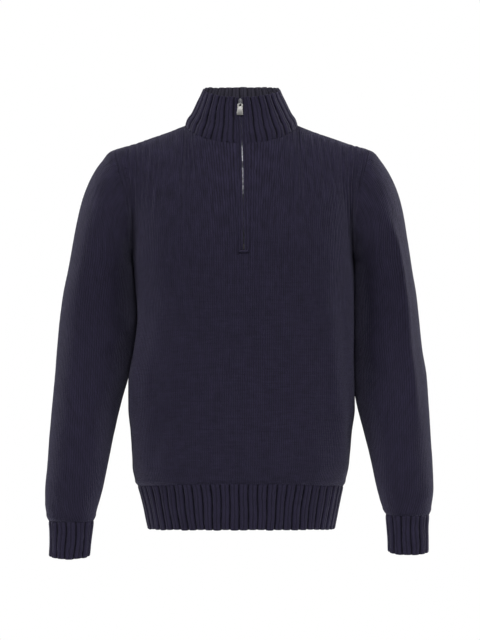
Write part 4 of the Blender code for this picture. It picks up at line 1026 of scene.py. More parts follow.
def yoke_creases(part, shares, rise, grid, back):
    """Shallow uneven lines between the wales of the chest, fanning down from
    the neck seam."""
    rng = np.random.default_rng(17 if back else 11)
    total = np.zeros(grid.shape[:2])
    for index in range(74):
        at = -0.96 + 1.92 * (index + rng.uniform(-0.38, 0.38)) / 73
        if abs(at) < 0.07 and not back:
            continue
        top = -0.010 - 0.090 * rng.random() ** 2 - 0.05 * max(abs(at) - NECK_SHARE, 0)
        long = 0.030 + 0.110 * rng.random() ** 1.5
        deep = (0.00040 + 0.00085 * rng.random()) * (0.7 if back else 1.0)
        sway = 0.010 * math.sin(index * 2.1)
        z = grid[..., 2]
        off = (shares + sway * (z - top) / 0.1 - at) * 0.262
        fade = smoothstep(top - long, top - long * 0.55, z) * smoothstep(top + 0.02, top - 0.01, z)
        total -= deep * fade * (np.exp(-((off / 0.0024) ** 2)) - 0.5 * np.exp(-(((off - 0.0052) / 0.0026) ** 2)))
    return total


def inward(grid, centre=(0.0, 0.0)):
    return outward(grid, grid_normals(grid), centre)


def make_panels():
    made = {}
    for back, name in ((False, "front_panel"), (True, "back_panel")):
        grid, u, v, shares = panel_surface(back)
        made[name] = (grid, u, v, shares)
    front, rear = made["front_panel"][0], made["back_panel"][0]
    front_n, rear_n = inward(front), inward(rear)
    # both panels share their directions where they meet
    low = len(LOW_LEVELS) - 1
    shoulder = np.abs(made["front_panel"][3]) >= NECK_SHARE
    both = unit(front_n[-1] + rear_n[-1])
    front_n[-1, shoulder] = rear_n[-1, shoulder] = both[shoulder]
    for j in (0, -1):
        both = unit(front_n[:low, j] + rear_n[:low, j])
        front_n[:low, j] = rear_n[:low, j] = both
    keep = np.ones((front.shape[0] - 1, front.shape[1] - 1), bool)
    middle = front[:, SIDE_CELLS, 2]
    keep[:, SIDE_CELLS] = middle[1:] <= ZIP_END_Z - 0.0030
    for name, grid, normals in (("front_panel", front, front_n), ("back_panel", rear, rear_n)):
        _, u, v, _ = made[name]
        piece = cloth(
            name + "_cloth", grid, grid - normals * CLOTH, u, v, KNIT, keep=keep if name == "front_panel" else None
        )
        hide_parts(name)
        made[name + "_piece"] = piece
    return made, front_n, rear_n


# ---------------------------------------------------------------- sleeves
def make_sleeve(side, name, table, fold_table, seed):
    levels = tube_levels(table, 96, 0.98)
    grid, turns = sleeve(side, table, levels, np.linspace(0, 1, 34))
    rows, cols = grid.shape[:2]
    centre = grid.mean(1, keepdims=True)
    normals = grid_normals(grid, True)
    if np.sum(normals * (grid - centre)) < 0:
        normals = -normals
    low = np.cos(np.radians(turns)) < -0.6
    for i in range(6):
        normals[i, low] = normals[6, low]
    around = np.linalg.norm(np.roll(grid, -1, 1) - grid, axis=2)
    girth = around.sum(1)
    start = np.concatenate([np.zeros((rows, 1)), np.cumsum(around, 1)], 1)
    top = np.argmin(np.abs(((turns + 180) % 360) - 180))
    run = np.concatenate([[np.zeros(cols)], np.cumsum(np.linalg.norm(np.diff(grid, axis=0), axis=2), 0)])
    # folds
    height = np.zeros((rows, cols))
    radius = girth / (2 * np.pi)
    z = grid[..., 2]
    for t0, z0, t1, z1, width, depth in fold_table:
        mean_r = 0.058
        s = np.radians((turns - t0 + 180) % 360 - 180)[None] * mean_r
        end = math.radians((t1 - t0 + 180) % 360 - 180) * mean_r
        along = np.array([end, z1 - z0])
        length = float(np.hypot(*along))
        along /= length
        t = (s * along[0] + (z - z0) * along[1]) / length
        off = -s * along[1] + (z - z0) * along[0]
        height += depth * smoothstep(-0.15, 0.3, t) * smoothstep(1.15, 0.7, t) * np.exp(-0.5 * (off / width) ** 2)
    height += 0.0006 * ripple(grid, 0.060, seed) + 0.0002 * ripple(grid, 0.016, seed + 7)
    first, last = run, run[-1:] - run
    height *= smoothstep(0, 0.02, first) * smoothstep(0, 0.02, last)
    tip = smoothstep(-0.075, -0.045, grid[..., 2])
    height -= 0.0016 * (1 - 0.8 * tip) * np.exp(-((first / 0.0036) ** 2))
    height += 0.0009 * np.exp(-(((first - 0.009) / 0.0045) ** 2)) + 0.0016 * tip * np.exp(-(((first - 0.014) / 0.010) ** 2))
    height -= 0.0014 * np.exp(-((last / 0.0034) ** 2))
    height += 0.0008 * np.exp(-(((last - 0.008) / 0.004) ** 2))
    # the underarm seam is a fine groove down the inner side
    back_turn = np.minimum((turns - 180) % 360, (180 - turns) % 360)[None]
    height -= 0.0007 * np.exp(-((np.radians(back_turn) * radius[:, None] / 0.003) ** 2)) * smoothstep(0.0, 0.03, first)
    grid = grid + normals * height[..., None]
    # stitches run down from the shoulder line; the seam is underneath
    u = (start - start[:, [top]]) / WALE
    v = -np.concatenate([run, run[:, :1]], 1) / COURSE
    piece = cloth(name + "_cloth", grid, grid - normals * CLOTH, u, v, KNIT, around=True)
    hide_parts(name)
    return piece, grid, turns, normals


# ---------------------------------------------------------------- ribbed pieces
def rib_height(phase):
    """1 on a rib's back, 0 in the groove at each whole number."""
    f = np.mod(phase, 1.0)
    return 1 - np.abs(2 * f - 1) ** 4.0


def rib_shell(name, base, normals, phase, relief, courses, around=False, free="first", slit=False, seed=1, tuck_deep=0.0013):
    """Ribbed shell on a grid of its outside. phase has one more column than
    the grid where it runs all round. The free edge is rounded over."""
    rows, cols = base.shape[:2]
    rng = np.random.default_rng(seed)
    run = np.concatenate([[np.zeros(cols)], np.cumsum(np.linalg.norm(np.diff(base, axis=0), axis=2), 0)])
    from_free = run if free == "first" else run[-1:] - run
    from_seam = run[-1:] - run if free == "first" else run
    ph = phase[:, :cols]
    # each rib is a little different
    number = np.floor(ph).astype(int)
    rank = number - number.min()
    swell = rng.uniform(-1, 1, rank.max() + 2)[rank]
    lift = rib_height(ph)
    deep = relief * (1 + 0.14 * swell)
    fade = 0.35 + 0.65 * smoothstep(0.0, 0.007, from_seam)
    depth = deep * (1 - lift) * fade
    tuck = tuck_deep * np.exp(-((from_seam / 0.003) ** 2))
    swell_out = 0.0004 * ripple(base, 0.030, seed + 3) + 0.00035 * swell * lift
    outer = base + normals * (swell_out - depth - tuck)[..., None]
    thick = 0.0016 + 0.0006 * lift
    # rounded free edge, longer where a rib ends
    bend = np.clip(from_free / 0.0022, 0, 1)
    close = 1 - np.sqrt(np.clip(1 - (1 - bend) ** 2, 0, 1))
    outer = outer - normals * (close * thick / 2 * 0.96)[..., None]
    inner = base + normals * (swell_out - depth - tuck - thick + close * thick / 2 * 0.96)[..., None]
    away = unit((base[0] - base[1]) if free == "first" else (base[-1] - base[-2]))
    reach = np.exp(-from_free / 0.006)
    push = (0.0006 * lift + 0.0006 * swell - 0.0004) * reach
    outer = outer + away[None] * push[..., None]
    inner = inner + away[None] * push[..., None]
    u = phase * 2.0
    v = (np.concatenate([run, run[:, :1]], 1) if around else run) / courses
    piece = cloth(name + "_knit", outer, inner, u, v, RIB_KNIT, around=around, angle=85)
    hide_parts(name)
    return piece, outer


def edge_levels(a, b, count):
    """Levels from a free edge a to a seam b, closer together at the edge."""
    long = abs(b - a)
    near = np.array([0, 0.00012, 0.00045, 0.0010, 0.0016, 0.0023]) / long
    rest = np.linspace(0.0023 / long, 1, count)[1:]
    share = np.concatenate([near, rest])
    return a + (b - a) * share


def make_hem():
    pieces = []
    for index, (back, name) in enumerate(((False, "hem_rib_front"), (True, "hem_rib_back"))):
        _, ribs, first, relief = RIBS[index]
        count = int(round(ribs * RIB_SAMPLES)) + 1
        shares = np.linspace(-1, 1, count)
        levels = edge_levels(HEM_LOW_Z, HEM_TOP_Z + 0.0006, 22)
        base = np.array([body_ring(z, shares, back)[0] for z in levels])
        normals = outward(base, grid_normals(base), (0, 0))
        for j in (0, -1):
            normals[:, j] = unit(normals[:, j] * np.array([1, 0, 1]))
        z = base[..., 2]
        sway = 0.035 * np.sin(z * 90 + shares[None] * 7) + 0.04 * np.sin(z * 47 - shares[None] * 13)
        sway *= (1 - np.abs(shares[None]) ** 8)
        phase = (shares[None] + 1) / 2 * ribs + first + sway
        pieces.append(rib_shell(name, base, normals, phase, relief, COURSE, seed=21 + index))
    return pieces


def make_collar():
    _, ribs, first, relief = RIBS[2]
    turns = np.linspace(0, 360, int(ribs * RIB_SAMPLES) + 1)
    long = 0.078
    near = 1 - np.array([0.0023, 0.0016, 0.0010, 0.00045, 0.00012, 0]) / long
    share = np.concatenate([np.linspace(0, near[0], 28, endpoint=False), near])
    grid, angles = [], []
    for s in share:
        half = float(read(COLLAR, COLLAR_COLUMNS, "half", s))
        start = math.degrees(math.asin(SLOT / 2 / half))
        inner_turns = turns[(turns > 9.5) & (turns < 350.5)]
        row_turns = np.concatenate([[start], inner_turns, [360 - start]])
        row = np.array([collar_point(t if t <= 180 else t - 360, float(s)) for t in row_turns])
        for index, sign in ((0, 1), (-1, -1)):
            row[index, 0] = float(lean(row[index, 2])) + sign * SLOT / 2
        grid.append(row)
        angles.append(row_turns)
    base, angles = np.array(grid), np.array(angles)
    normals = outward(base, grid_normals(base), (0, NECK_Y))
    for j in (0, -1):
        normals[:, j, 0] = 0
        normals[:, j] = unit(normals[:, j])
    sway = 0.05 * np.sin(share[:, None] * 5 + angles * 0.05) + 0.03 * np.sin(share[:, None] * 9 - angles * 0.09)
    edge = smoothstep(0, 25, angles) * smoothstep(360, 335, angles)
    phase = angles / 360 * ribs + first + sway * edge
    # the first and last rib are part of the zip's edge
    return rib_shell("collar", base, normals, phase, relief, COURSE, free="last", seed=31, tuck_deep=0.0004)


def make_cuff(side, name, table, row, seed):
    _, ribs, first, relief = RIBS[row]
    count = int(ribs * RIB_SAMPLES)
    turns = np.linspace(0, 360, count, endpoint=False)
    levels = edge_levels(table[-1][0], table[0][0] + 0.0008, 18)
    rings = []
    for z in levels:
        rings.append(sleeve_ring(table, min(z, table[0][0]), turns, side))
        rings[-1][:, 2] = z
    base = np.array(rings)
    share = (levels[-1] - levels) / (levels[-1] - levels[0])
    drop = share[:, None] * np.sin(np.radians(turns))[None]
    base[..., 2] -= CUFF_DROP * np.maximum(drop, -0.3)
    normals = grid_normals(base, True)
    if np.sum(normals * (base - base.mean(1, keepdims=True))) < 0:
        normals = -normals
    full = np.append(turns, 360.0)
    z = np.array(levels)[:, None]
    sway = 0.04 * np.sin(z * 110 + np.radians(full)[None] * 3)
    phase = full[None] / 360 * ribs + first + sway
    return rib_shell(name, base, normals, phase, relief, COURSE, around=True, seed=seed)


# ---------------------------------------------------------------- zip
def zip_line(front):
    """Centre line of the front from the rim down, as in the frame."""
    low_rows = len(LOW_LEVELS) - 1
    line = [collar_point(0, share) for share in np.linspace(1, 0, 14)]
    middle = (front[:, SIDE_CELLS] + front[:, SIDE_CELLS + 1]) / 2
    for row in range(front.shape[0] - 3, low_rows - 6, -1):
        line.append(middle[row])
    line = np.array(line)
    # one soft run over the collar's seam
    run = np.concatenate([[0], np.cumsum(np.linalg.norm(np.diff(line, axis=0), axis=1))])
    even = np.linspace(0, run[-1], 240)
    line = np.stack([np.interp(even, run, line[:, k]) for k in range(3)], 1)
    for _ in range(30):
        line[1:-1] = line[1:-1] * 0.5 + (line[:-2] + line[2:]) * 0.25
    run = np.concatenate([[0], np.cumsum(np.linalg.norm(np.diff(line, axis=0), axis=1))])
    end = float(np.interp(ZIP_END_Z, line[::-1, 2], run[::-1]))
    return line, run, end


class Zip:
    def __init__(self, front):
        self.line, self.run, self.end = zip_line(front)
        self.collar_end = float(np.interp(-0.0355, self.line[::-1, 2], self.run[::-1]))

    def frame(self, s):
        s = np.atleast_1d(np.asarray(s, float))
        at = lambda q: np.stack([np.interp(q, self.run, self.line[:, k]) for k in range(3)], 1)
        p = at(s)
        along = unit(at(s + 0.003) - at(s - 0.003))
        out = unit(np.cross(along, np.array([1.0, 0, 0])))
        out[out[:, 1] > 0] *= -1
        return p, along, out

    def bend(self, s):
        return np.interp(s, [0, self.collar_end, self.collar_end + 0.03, self.end], [0.066, 0.085, 0.16, 0.9])

    def point(self, s, x, height):
        """Point at run s, x across from the centre line and height out."""
        p, _, out = self.frame(s)
        x = np.broadcast_to(np.asarray(x, float), (len(p),))
        q = p + out * np.broadcast_to(np.asarray(height, float), (len(p),))[:, None]
        q[:, 0] += x
        q[:, 1] += x * x / (2 * self.bend(np.atleast_1d(s)))
        return q


def section_bar(name, zipper, s, centre, half, high, low, material, wales=2.0, node=None, rough=0.0, seed=4):
    """Rounded bar along the zip: centre, half width, top and bottom height may
    change along it. Its outside has a groove between its two wales."""
    s = np.asarray(s, float)
    count = len(s)
    turns = np.linspace(0, 2 * np.pi, 24, endpoint=False)
    centre, half, high, low = (np.broadcast_to(np.asarray(k, float), (count,)) for k in (centre, half, high, low))
    p, _, out = zipper.frame(s)
    rings = np.empty((count, len(turns), 3))
    rng = np.random.default_rng(seed)
    wob = np.interp(s, np.linspace(s[0], s[-1], 60), rng.uniform(-1, 1, 60)) * rough
    c, n = np.cos(turns), np.sin(turns)
    flat = np.sign(c) * np.abs(c) ** 0.75
    tall = np.sign(n) * np.abs(n) ** 0.8
    for i in range(count):
        x = centre[i] + wob[i] * 0.6 + flat * half[i]
        mid, rise = (high[i] + low[i]) / 2, (high[i] - low[i]) / 2
        h = mid + tall * rise + wob[i] * (n > 0) * 0.5
        h = h - 0.00045 * np.exp(-((flat / 0.16) ** 2)) * (n > 0)
        q = p[i] + out[i] * h[:, None]
        q[:, 0] += x
        q[:, 1] += x * x / (2 * zipper.bend(s[i]))
        rings[i] = q
    # ends close over in two steps
    def cap(ring, way):
        mean = ring.mean(0)
        near = mean + (ring - mean) * 0.72 + way * 0.0007
        far = mean + (ring - mean) * 0.02 + way * 0.0010
        return near, far

    a_near, a_far = cap(rings[0], unit(rings[0].mean(0) - rings[1].mean(0)))
    b_near, b_far = cap(rings[-1], unit(rings[-1].mean(0) - rings[-2].mean(0)))
    rings = np.concatenate([[a_far, a_near], rings, [b_near, b_far]])
    rows, cols = rings.shape[:2]
    verts = rings.reshape(-1, 3)
    i, j = np.meshgrid(np.arange(rows - 1), np.arange(cols), indexing="ij")
    i, j = i.ravel(), j.ravel()
    k = (j + 1) % cols
    faces = np.stack([i * cols + j, i * cols + k, (i + 1) * cols + k, (i + 1) * cols + j], 1)
    run = np.concatenate([[0], np.cumsum(np.linalg.norm(np.diff(rings.mean(1), axis=0), axis=1))])
    scale = wales * 2 / cols
    uv = np.stack(
        [
            np.stack([j * scale, run[i] / COURSE], 1),
            np.stack([(j + 1) * scale, run[i] / COURSE], 1),
            np.stack([(j + 1) * scale, run[i + 1] / COURSE], 1),
            np.stack([j * scale, run[i + 1] / COURSE], 1),
        ],
        1,
    )
    if signed_volume(verts, faces) < 0:
        faces, uv = faces[:, ::-1], uv[:, ::-1]
    piece = finish_mesh(name, verts, faces, material, uv.reshape(-1, 2), angle=180)
    if node:
        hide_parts(node)
    return piece


def gap_at(s, zipper):
    """Half the gap between the two knitted edges."""
    z = np.interp(s, zipper.run, zipper.line[:, 2])
    levels = np.array([0.045, 0.031, 0.012, -0.030, -0.040, -0.064, -0.071, -0.078, -0.122, -0.131, -0.178, -0.186, -0.200, -0.21])
    halves = np.array([1.6, 1.3, 0.30, 0.22, 1.30, 1.30, 0.45, 1.40, 1.30, 0.25, 0.20, 1.15, 1.25, 0.9]) * 1e-3
    return np.interp(-z, -levels, halves)


def make_edging(zipper):
    s = np.linspace(0.0006, zipper.end - 0.0018, 190)
    pieces = []
    gap = gap_at(s, zipper)
    rng = np.random.default_rng(8)
    bump = 0.00018 * np.sin(s / 0.0029 * 2 * np.pi) + 0.0003 * np.interp(
        s, np.linspace(s[0], s[-1], 40), rng.uniform(-1, 1, 40)
    )
    for sign, name in ((-1, "left"), (1, "right")):
        outer = EDGE_OUT + 0.0001
        centre = sign * (gap + outer) / 2
        half = (outer - gap) / 2
        pieces.append(
            section_bar(
                "edging_%s_knit" % name, zipper, s, centre, half, EDGE_TOP + 0.0004 + bump, EDGE_LOW, EDGE_KNIT,
                node="edging_" + name, rough=0.0003, seed=12 + sign,
            )
        )
    # bar across the lower end, its ends turned up into the two edges
    turn = np.linspace(0, 1, 40)
    x = -0.0078 + 0.0156 * turn
    rise = 0.0016 * (np.abs(2 * turn - 1) ** 4)
    line = zipper.point(zipper.end + 0.0004 - rise, x, 0.0)
    _, _, out = zipper.frame(np.full(40, zipper.end))
    bar = tube("edging_end_knit", line + out * -0.0002, 0.00225 * (1 - 0.25 * np.abs(2 * turn - 1) ** 6), EDGE_KNIT, sides=16, normal=out[0])
    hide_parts("edging_end")
    return pieces, bar


def brick(centre, a, b, c, half, bevel):
    """Points and faces of a bevelled block with axes a, b, c."""
    pts, faces = [], []
    steps = [(-1, -1), (1, -1), (1, 1), (-1, 1)]
    heights = [-half[2], -half[2] + bevel, half[2] - bevel, half[2]]
    inset = [bevel, 0.0, 0.0, bevel]
    for h, i in zip(heights, inset):
        for sx, sy in steps:
            for tx, ty in (((1, 0), (0, 1)) if sx * sy > 0 else ((0, 1), (1, 0))):
                x = sx * (half[0] - i - bevel * tx)
                y = sy * (half[1] - i - bevel * ty)
                pts.append(centre + a * x + b * y + c * h)
    n = 8
    for level in range(3):
        for k in range(n):
            m = (k + 1) % n
            faces.append((level * n + k, level * n + m, (level + 1) * n + m, (level + 1) * n + k))
    faces.append((7, 6, 5, 4))
    faces.append((7, 4, 3, 0))
    faces.append((3, 2, 1, 0))
    t = 3 * n
    faces.append((t + 4, t + 5, t + 6, t + 7))
    faces.append((t + 0, t + 3, t + 4, t + 7))
    faces.append((t + 0, t + 1, t + 2, t + 3))
    return pts, faces


def bricks(name, list_of, material, body=GARMENT, angle=40):
    pts, faces = [], []
    for centre, a, b, c, half, bevel in list_of:
        p, f = brick(np.asarray(centre), a, b, c, half, bevel)
        base = len(pts)
        pts += p
        faces += [tuple(base + k for k in q) for q in f]
    return finish_mesh(name, np.array(pts), np.array(faces), material, None, body, angle)


def make_teeth(zipper):
    """Two rows of metal teeth that mesh on the centre line."""
    across = np.array([1.0, 0, 0])
    start = SLIDER_DOWN + SLIDER_LONG / 2 + 0.0012
    stop = zipper.end - 0.0124
    items = []
    index = 0
    s = start
    while s < stop:
        for sign in (-1, 1):
            at = s + (0.0010 if sign > 0 else 0)
            if at > stop:
                continue
            p, along, out = zipper.frame(at)
            p, along, out = p[0], along[0], out[0]
            head = p + out * (-0.00175) + across * sign * 0.00042
            items.append((head, across, along, out, (0.00078, 0.00052, 0.00095), 0.00022))
        index += 1
        s += 0.0020
    # the braid that holds the teeth, dark, just behind them
    teeth = bricks("zip_teeth", items, TEETH_SHADE_METAL)
    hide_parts("zip_chain")
    # painted glint: teeth in the open stretches between the knitted edges get the bright copy of the metal; the others
    # keep the dark copy, painted shade
    teeth.data.materials.append(TEETH_GLINT_METAL)
    for polygon in teeth.data.polygons:
        if -0.0655 < polygon.center.z < -0.0395 or -0.1215 < polygon.center.z < -0.0775:
            polygon.material_index = 1
    s = np.linspace(start - 0.001, stop + 0.001, 120)
    _, _, out = zipper.frame(s)
    cords = []
    for sign in (-1, 1):
        line = zipper.point(s, sign * 0.00145, -0.0022)
        cord = tube("zip_braid_" + ("left" if sign < 0 else "right"), line, 0.00075, TAPE, sides=8, normal=out[60])
        cords.append(cord)
    return teeth, cords


def make_stop(zipper):
    s0, s1 = zipper.end - 0.0119, zipper.end - 0.0031
    p, along, out = zipper.frame((s0 + s1) / 2)
    across = np.array([1.0, 0, 0])
    half = (0.00128, (s1 - s0) / 2, 0.0017)
    mid = p[0] + out[0] * (CHAIN_TOP + 0.0006 - half[2])
    stop = bricks("zip_stop_block", [(mid, across, along[0], out[0], half, 0.0004)], STOP_METAL)
    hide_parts("zip_stop")
    return stop


def smooth_outline(points, rounds=2):
    """Corner cutting of a closed outline."""
    points = np.asarray(points, float)
    for _ in range(rounds):
        nxt = np.roll(points, -1, 0)
        points = np.stack([points * 0.78 + nxt * 0.22, points * 0.22 + nxt * 0.78], 1).reshape(-1, points.shape[1])
    return points


def rounded_plate(name, outline, low, high, place, material, bevel=0.0003, body=GARMENT, hole=None):
    """Closed plate between two depths with rounded rims; hole is (centre,
    half across, half along) of an oval eye."""
    outline = np.asarray(outline, float)
    area = 0.5 * np.sum(outline[:, 0] * np.roll(outline[:, 1], -1) - outline[:, 1] * np.roll(outline[:, 0], -1))
    if area < 0:
        outline = outline[::-1]
    edge = np.roll(outline, -1, 0) - np.roll(outline, 1, 0)
    normal = unit(np.stack([edge[:, 1], -edge[:, 0]], 1))
    turns = np.linspace(0, math.pi / 2, 4)
    # from the inner rim of the lower face, round the edge, to the upper face
    steps = [(bevel * (1 - math.sin(t)), low + bevel * (1 - math.cos(t))) for t in turns]
    steps += [(bevel * (1 - math.sin(t)), high - bevel * (1 - math.cos(t))) for t in turns[::-1]]
    bm = bmesh.new()
    rings = [[bm.verts.new(place(*(p - n * inset), depth)) for p, n in zip(outline, normal)] for inset, depth in steps]
    count = len(outline)
    for a, b in zip(rings[:-1], rings[1:]):
        for i in range(count):
            k = (i + 1) % count
            bm.faces.new((a[i], a[k], b[k], b[i]))
    if hole is None:
        bm.faces.new(rings[0][::-1])
        bm.faces.new(rings[-1])
    else:
        centre, half_a, half_b = hole
        # eye points run round with the outline, by angle from the eye's centre
        angles = np.arctan2(outline[:, 1] - centre[1], outline[:, 0] - centre[0])
        eye = np.stack([centre[0] + half_a * np.cos(angles), centre[1] + half_b * np.sin(angles)], 1)
        inner = []
        for inset, depth in steps:
            inner.append(
                [
                    bm.verts.new(place(*(centre + (q - centre) * (1 + inset / min(half_a, half_b))), depth))
                    for q in eye
                ]
            )
        for a, b in zip(inner[:-1], inner[1:]):
            for i in range(count):
                k = (i + 1) % count
                bm.faces.new((a[k], a[i], b[i], b[k]))
        for i in range(count):
            k = (i + 1) % count
            bm.faces.new((rings[0][k], rings[0][i], inner[0][i], inner[0][k]))
            bm.faces.new((rings[-1][i], rings[-1][k], inner[-1][k], inner[-1][i]))
    bmesh.ops.recalc_face_normals(bm, faces=bm.faces)
    mesh = bpy.data.meshes.new(name)
    bm.to_mesh(mesh)
    bm.free()
    mesh.shade_smooth()
    mesh.set_sharp_from_angle(angle=math.radians(50))
    mesh.materials.append(material)
    thing = bpy.data.objects.new(name, mesh)
    bpy.context.scene.collection.objects.link(thing)
    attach(thing, body)
    return thing


def even_outline(points, count):
    """The closed outline again with evenly spaced points."""
    points = np.asarray(points, float)
    closed = np.concatenate([points, points[:1]])
    run = np.concatenate([[0], np.cumsum(np.linalg.norm(np.diff(closed, axis=0), axis=1))])
    at = np.linspace(0, run[-1], count, endpoint=False)
    return np.stack([np.interp(at, run, closed[:, k]) for k in range(2)], 1)


def joined(name, things):
    """One object from several that share a body."""
    first = things[0]
    bm = bmesh.new()
    for thing in things:
        bm.from_mesh(thing.data)
    bm.to_mesh(first.data)
    bm.free()
    first.name = first.data.name = name
    first.data.shade_smooth()
    first.data.set_sharp_from_angle(angle=math.radians(50))
    for thing in things[1:]:
        bpy.data.objects.remove(thing, do_unlink=True)
    return first


def make_slider(zipper):
    p, along, out = (k[0] for k in zipper.frame(SLIDER_DOWN))
    low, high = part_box("zip_pull_tab")
    hinge = Vector(frame["joints"][0]["pos_m"])
    across = np.array([1.0, 0, 0])
    turned_along = unit(along * math.cos(TAB_TILT) - across * math.sin(TAB_TILT))
    turned_across = unit(np.cross(out, turned_along))
    if turned_across[0] < 0:
        turned_across = -turned_across
    plate_low, plate_high = EDGE_TOP + 0.0004, EDGE_TOP + 0.0016
    bail_high = plate_high + 0.0034
    pivot_depth, pivot_along = plate_high + 0.00125, PIVOT_ALONG
    pivot = np.array(hinge)
    origin = pivot - turned_along * pivot_along - out * pivot_depth

    def on_slider(a, b, depth):
        return tuple(origin + turned_across * a + turned_along * b + out * depth)

    def on_tab(a, b, depth):
        return tuple(pivot + turned_across * a + turned_along * b + out * depth)

    half, long = SLIDER_HALF, SLIDER_LONG / 2
    front = even_outline(
        smooth_outline(
            (
                (-half * 0.62, -long), (half * 0.62, -long), (half * 1.0, -long * 0.45), (half, long * 0.35),
                (half * 0.60, long), (-half * 0.60, long), (-half, long * 0.35), (-half * 1.0, -long * 0.45),
            )
        ),
        48,
    )
    pieces = [rounded_plate("slider_front", front, plate_low - 0.0004, plate_high, on_slider, SLIDER_METAL, 0.00045)]
    back = even_outline(smooth_outline(((-half * 0.8, -long * 0.85), (half * 0.8, -long * 0.85), (half, 0), (half * 0.6, long * 0.85), (-half * 0.6, long * 0.85), (-half, 0))), 40)
    pieces.append(rounded_plate("slider_back", back, TAPE_LOW - 0.0019, TAPE_LOW - 0.0008, on_slider, SLIDER_METAL, 0.0004))
    neck = even_outline(smooth_outline(((-0.0008, -0.0024), (0.0008, -0.0024), (0.0008, 0.0018), (-0.0008, 0.0018))), 16)
    pieces.append(rounded_plate("slider_neck", neck, TAPE_LOW - 0.0012, plate_low + 0.0002, on_slider, SLIDER_METAL, 0.0001))
    # the bail: a round bar that arches from the plate's top over the tab's bar
    lower = pivot_along + 0.0022
    way = [
        (-long + 0.0009, plate_high - 0.0006), (-long + 0.0007, plate_high + 0.0012), (-long + 0.0011, bail_high - 0.0010),
        (-long + 0.0022, bail_high - 0.00055), (-0.0010, bail_high - 0.00045), (lower - 0.0012, bail_high - 0.00055),
        (lower - 0.0002, bail_high - 0.0011), (lower + 0.0001, plate_high + 0.0012), (lower - 0.0001, plate_high - 0.0006),
    ]
    way = np.array(way)
    run = np.concatenate([[0], np.cumsum(np.linalg.norm(np.diff(way, axis=0), axis=1))])
    at = np.linspace(0, run[-1], 34)
    line2 = np.stack([curve_through(run, way[:, k], at) if k == 1 else np.interp(at, run, way[:, 0]) for k in range(2)], 1)
    for _ in range(3):
        line2[1:-1] = line2[1:-1] * 0.5 + (line2[:-2] + line2[2:]) * 0.25
    line = np.array([on_slider(0.0, b, d) for b, d in line2])
    bail = tube("slider_bail", line, 0.00062, SLIDER_METAL, sides=14, normal=turned_across)
    pieces.append(bail)
    slider = joined("zip_slider_body", pieces)
    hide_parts("zip_slider")

    # pull tab with its eye
    bar, hole_low = 0.0008, 0.0043
    outline = even_outline(
        smooth_outline(
            (
                (-0.0040, -bar), (0.0040, -bar), (TAB_TOP_HALF, 0.0002), (TAB_TOP_HALF, 0.0034),
                (TAB_WAIST_HALF, 0.0062), (TAB_WAIST_HALF + 0.0001, 0.0072), (TAB_LOW_HALF, TAB_LONG - bar - 0.0020),
                (TAB_LOW_HALF, TAB_LONG - bar), (-TAB_LOW_HALF, TAB_LONG - bar), (-TAB_LOW_HALF, TAB_LONG - bar - 0.0020),
                (-TAB_WAIST_HALF - 0.0001, 0.0072), (-TAB_WAIST_HALF, 0.0062), (-TAB_TOP_HALF, 0.0034), (-TAB_TOP_HALF, 0.0002),
            ),
            2,
        ),
        96,
    )
    tab = rounded_plate(
        "zip_pull_plate", outline, -TAB_THICK / 2, TAB_THICK / 2, on_tab, PULL_METAL, 0.00028, PULL,
        hole=(np.array([0.0, (bar + hole_low) / 2]), 0.0017, (hole_low - bar) / 2),
    )
    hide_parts("zip_pull_tab")
    return slider, tab


# ---------------------------------------------------------------- seams
def seam_cord(name, line, closed=False, radius=0.0013):
    """Overlocked seam on the inside of the cloth."""
    line = np.asarray(line, float)
    piece = tube(name, line, radius, EDGE_KNIT, closed=closed, sides=8, squash=0.8)
    return piece


def make_marks(name, grid, normals, at):
    """Short slanted ridges where stitches were moved to shape the armhole; at
    holds the place (row, column), the half length and its slant in degrees."""
    verts, faces, uvs = [], [], []
    for row, col, half, slant in at:
        i, j = int(row), int(col)
        centre, n = grid[i, j], normals[i, j]
        right = unit(grid[i, j + 1] - grid[i, j - 1])
        if right[0] < 0:
            right = -right
        up = unit(np.cross(n, right))
        if up[2] < 0:
            up = -up
        a = math.radians(slant)
        way = right * math.cos(a) + up * math.sin(a)
        side = unit(np.cross(n, way))
        base = len(verts)
        rows, cols = 7, 8
        for r in range(rows):
            t = -1 + 2 * r / (rows - 1)
            w = math.sqrt(max(1 - t * t, 0)) * 0.0011 + 0.00005
            h = math.sqrt(max(1 - t * t, 0)) * 0.0009
            for c in range(cols):
                q = 2 * math.pi * c / cols
                verts.append(centre + way * t * half + side * math.cos(q) * w + n * (math.sin(q) * h + 0.0001))
        for r in range(rows - 1):
            for c in range(cols):
                k = (c + 1) % cols
                faces.append((base + r * cols + c, base + r * cols + k, base + (r + 1) * cols + k, base + (r + 1) * cols + c))
                uvs.append(((r / 3, 0.1), (r / 3, 0.4), ((r + 1) / 3, 0.4), ((r + 1) / 3, 0.1)))
        for r in (0, rows - 1):
            for c in range(0, cols, 2):
                quad = [base + r * cols + (c + m) % cols for m in range(3)]
                if c == 0:
                    centre_quad = [base + r * cols + m for m in (0, 2, 4, 6)]
                    faces.append(tuple(centre_quad if r else centre_quad[::-1]))
                    uvs.append(((0, 0),) * 4)
    piece = finish_mesh(name, np.array(verts), np.array(faces), KNIT, np.array(uvs).reshape(-1, 2), angle=180)
    return piece


# ---------------------------------------------------------------- build
panels, front_normals, back_normals = make_panels()
front_grid, back_grid = panels["front_panel"][0], panels["back_panel"][0]
sleeve_left, left_grid, left_turns, left_normals = make_sleeve(-1, "sleeve_left", SLEEVE_LEFT, SLEEVE_FOLDS_LEFT, 31)
sleeve_right, right_grid, right_turns, right_normals = make_sleeve(
    1, "sleeve_right", SLEEVE_RIGHT, SLEEVE_FOLDS_RIGHT, 41
)
hems = make_hem()
collar, collar_grid_out = make_collar()
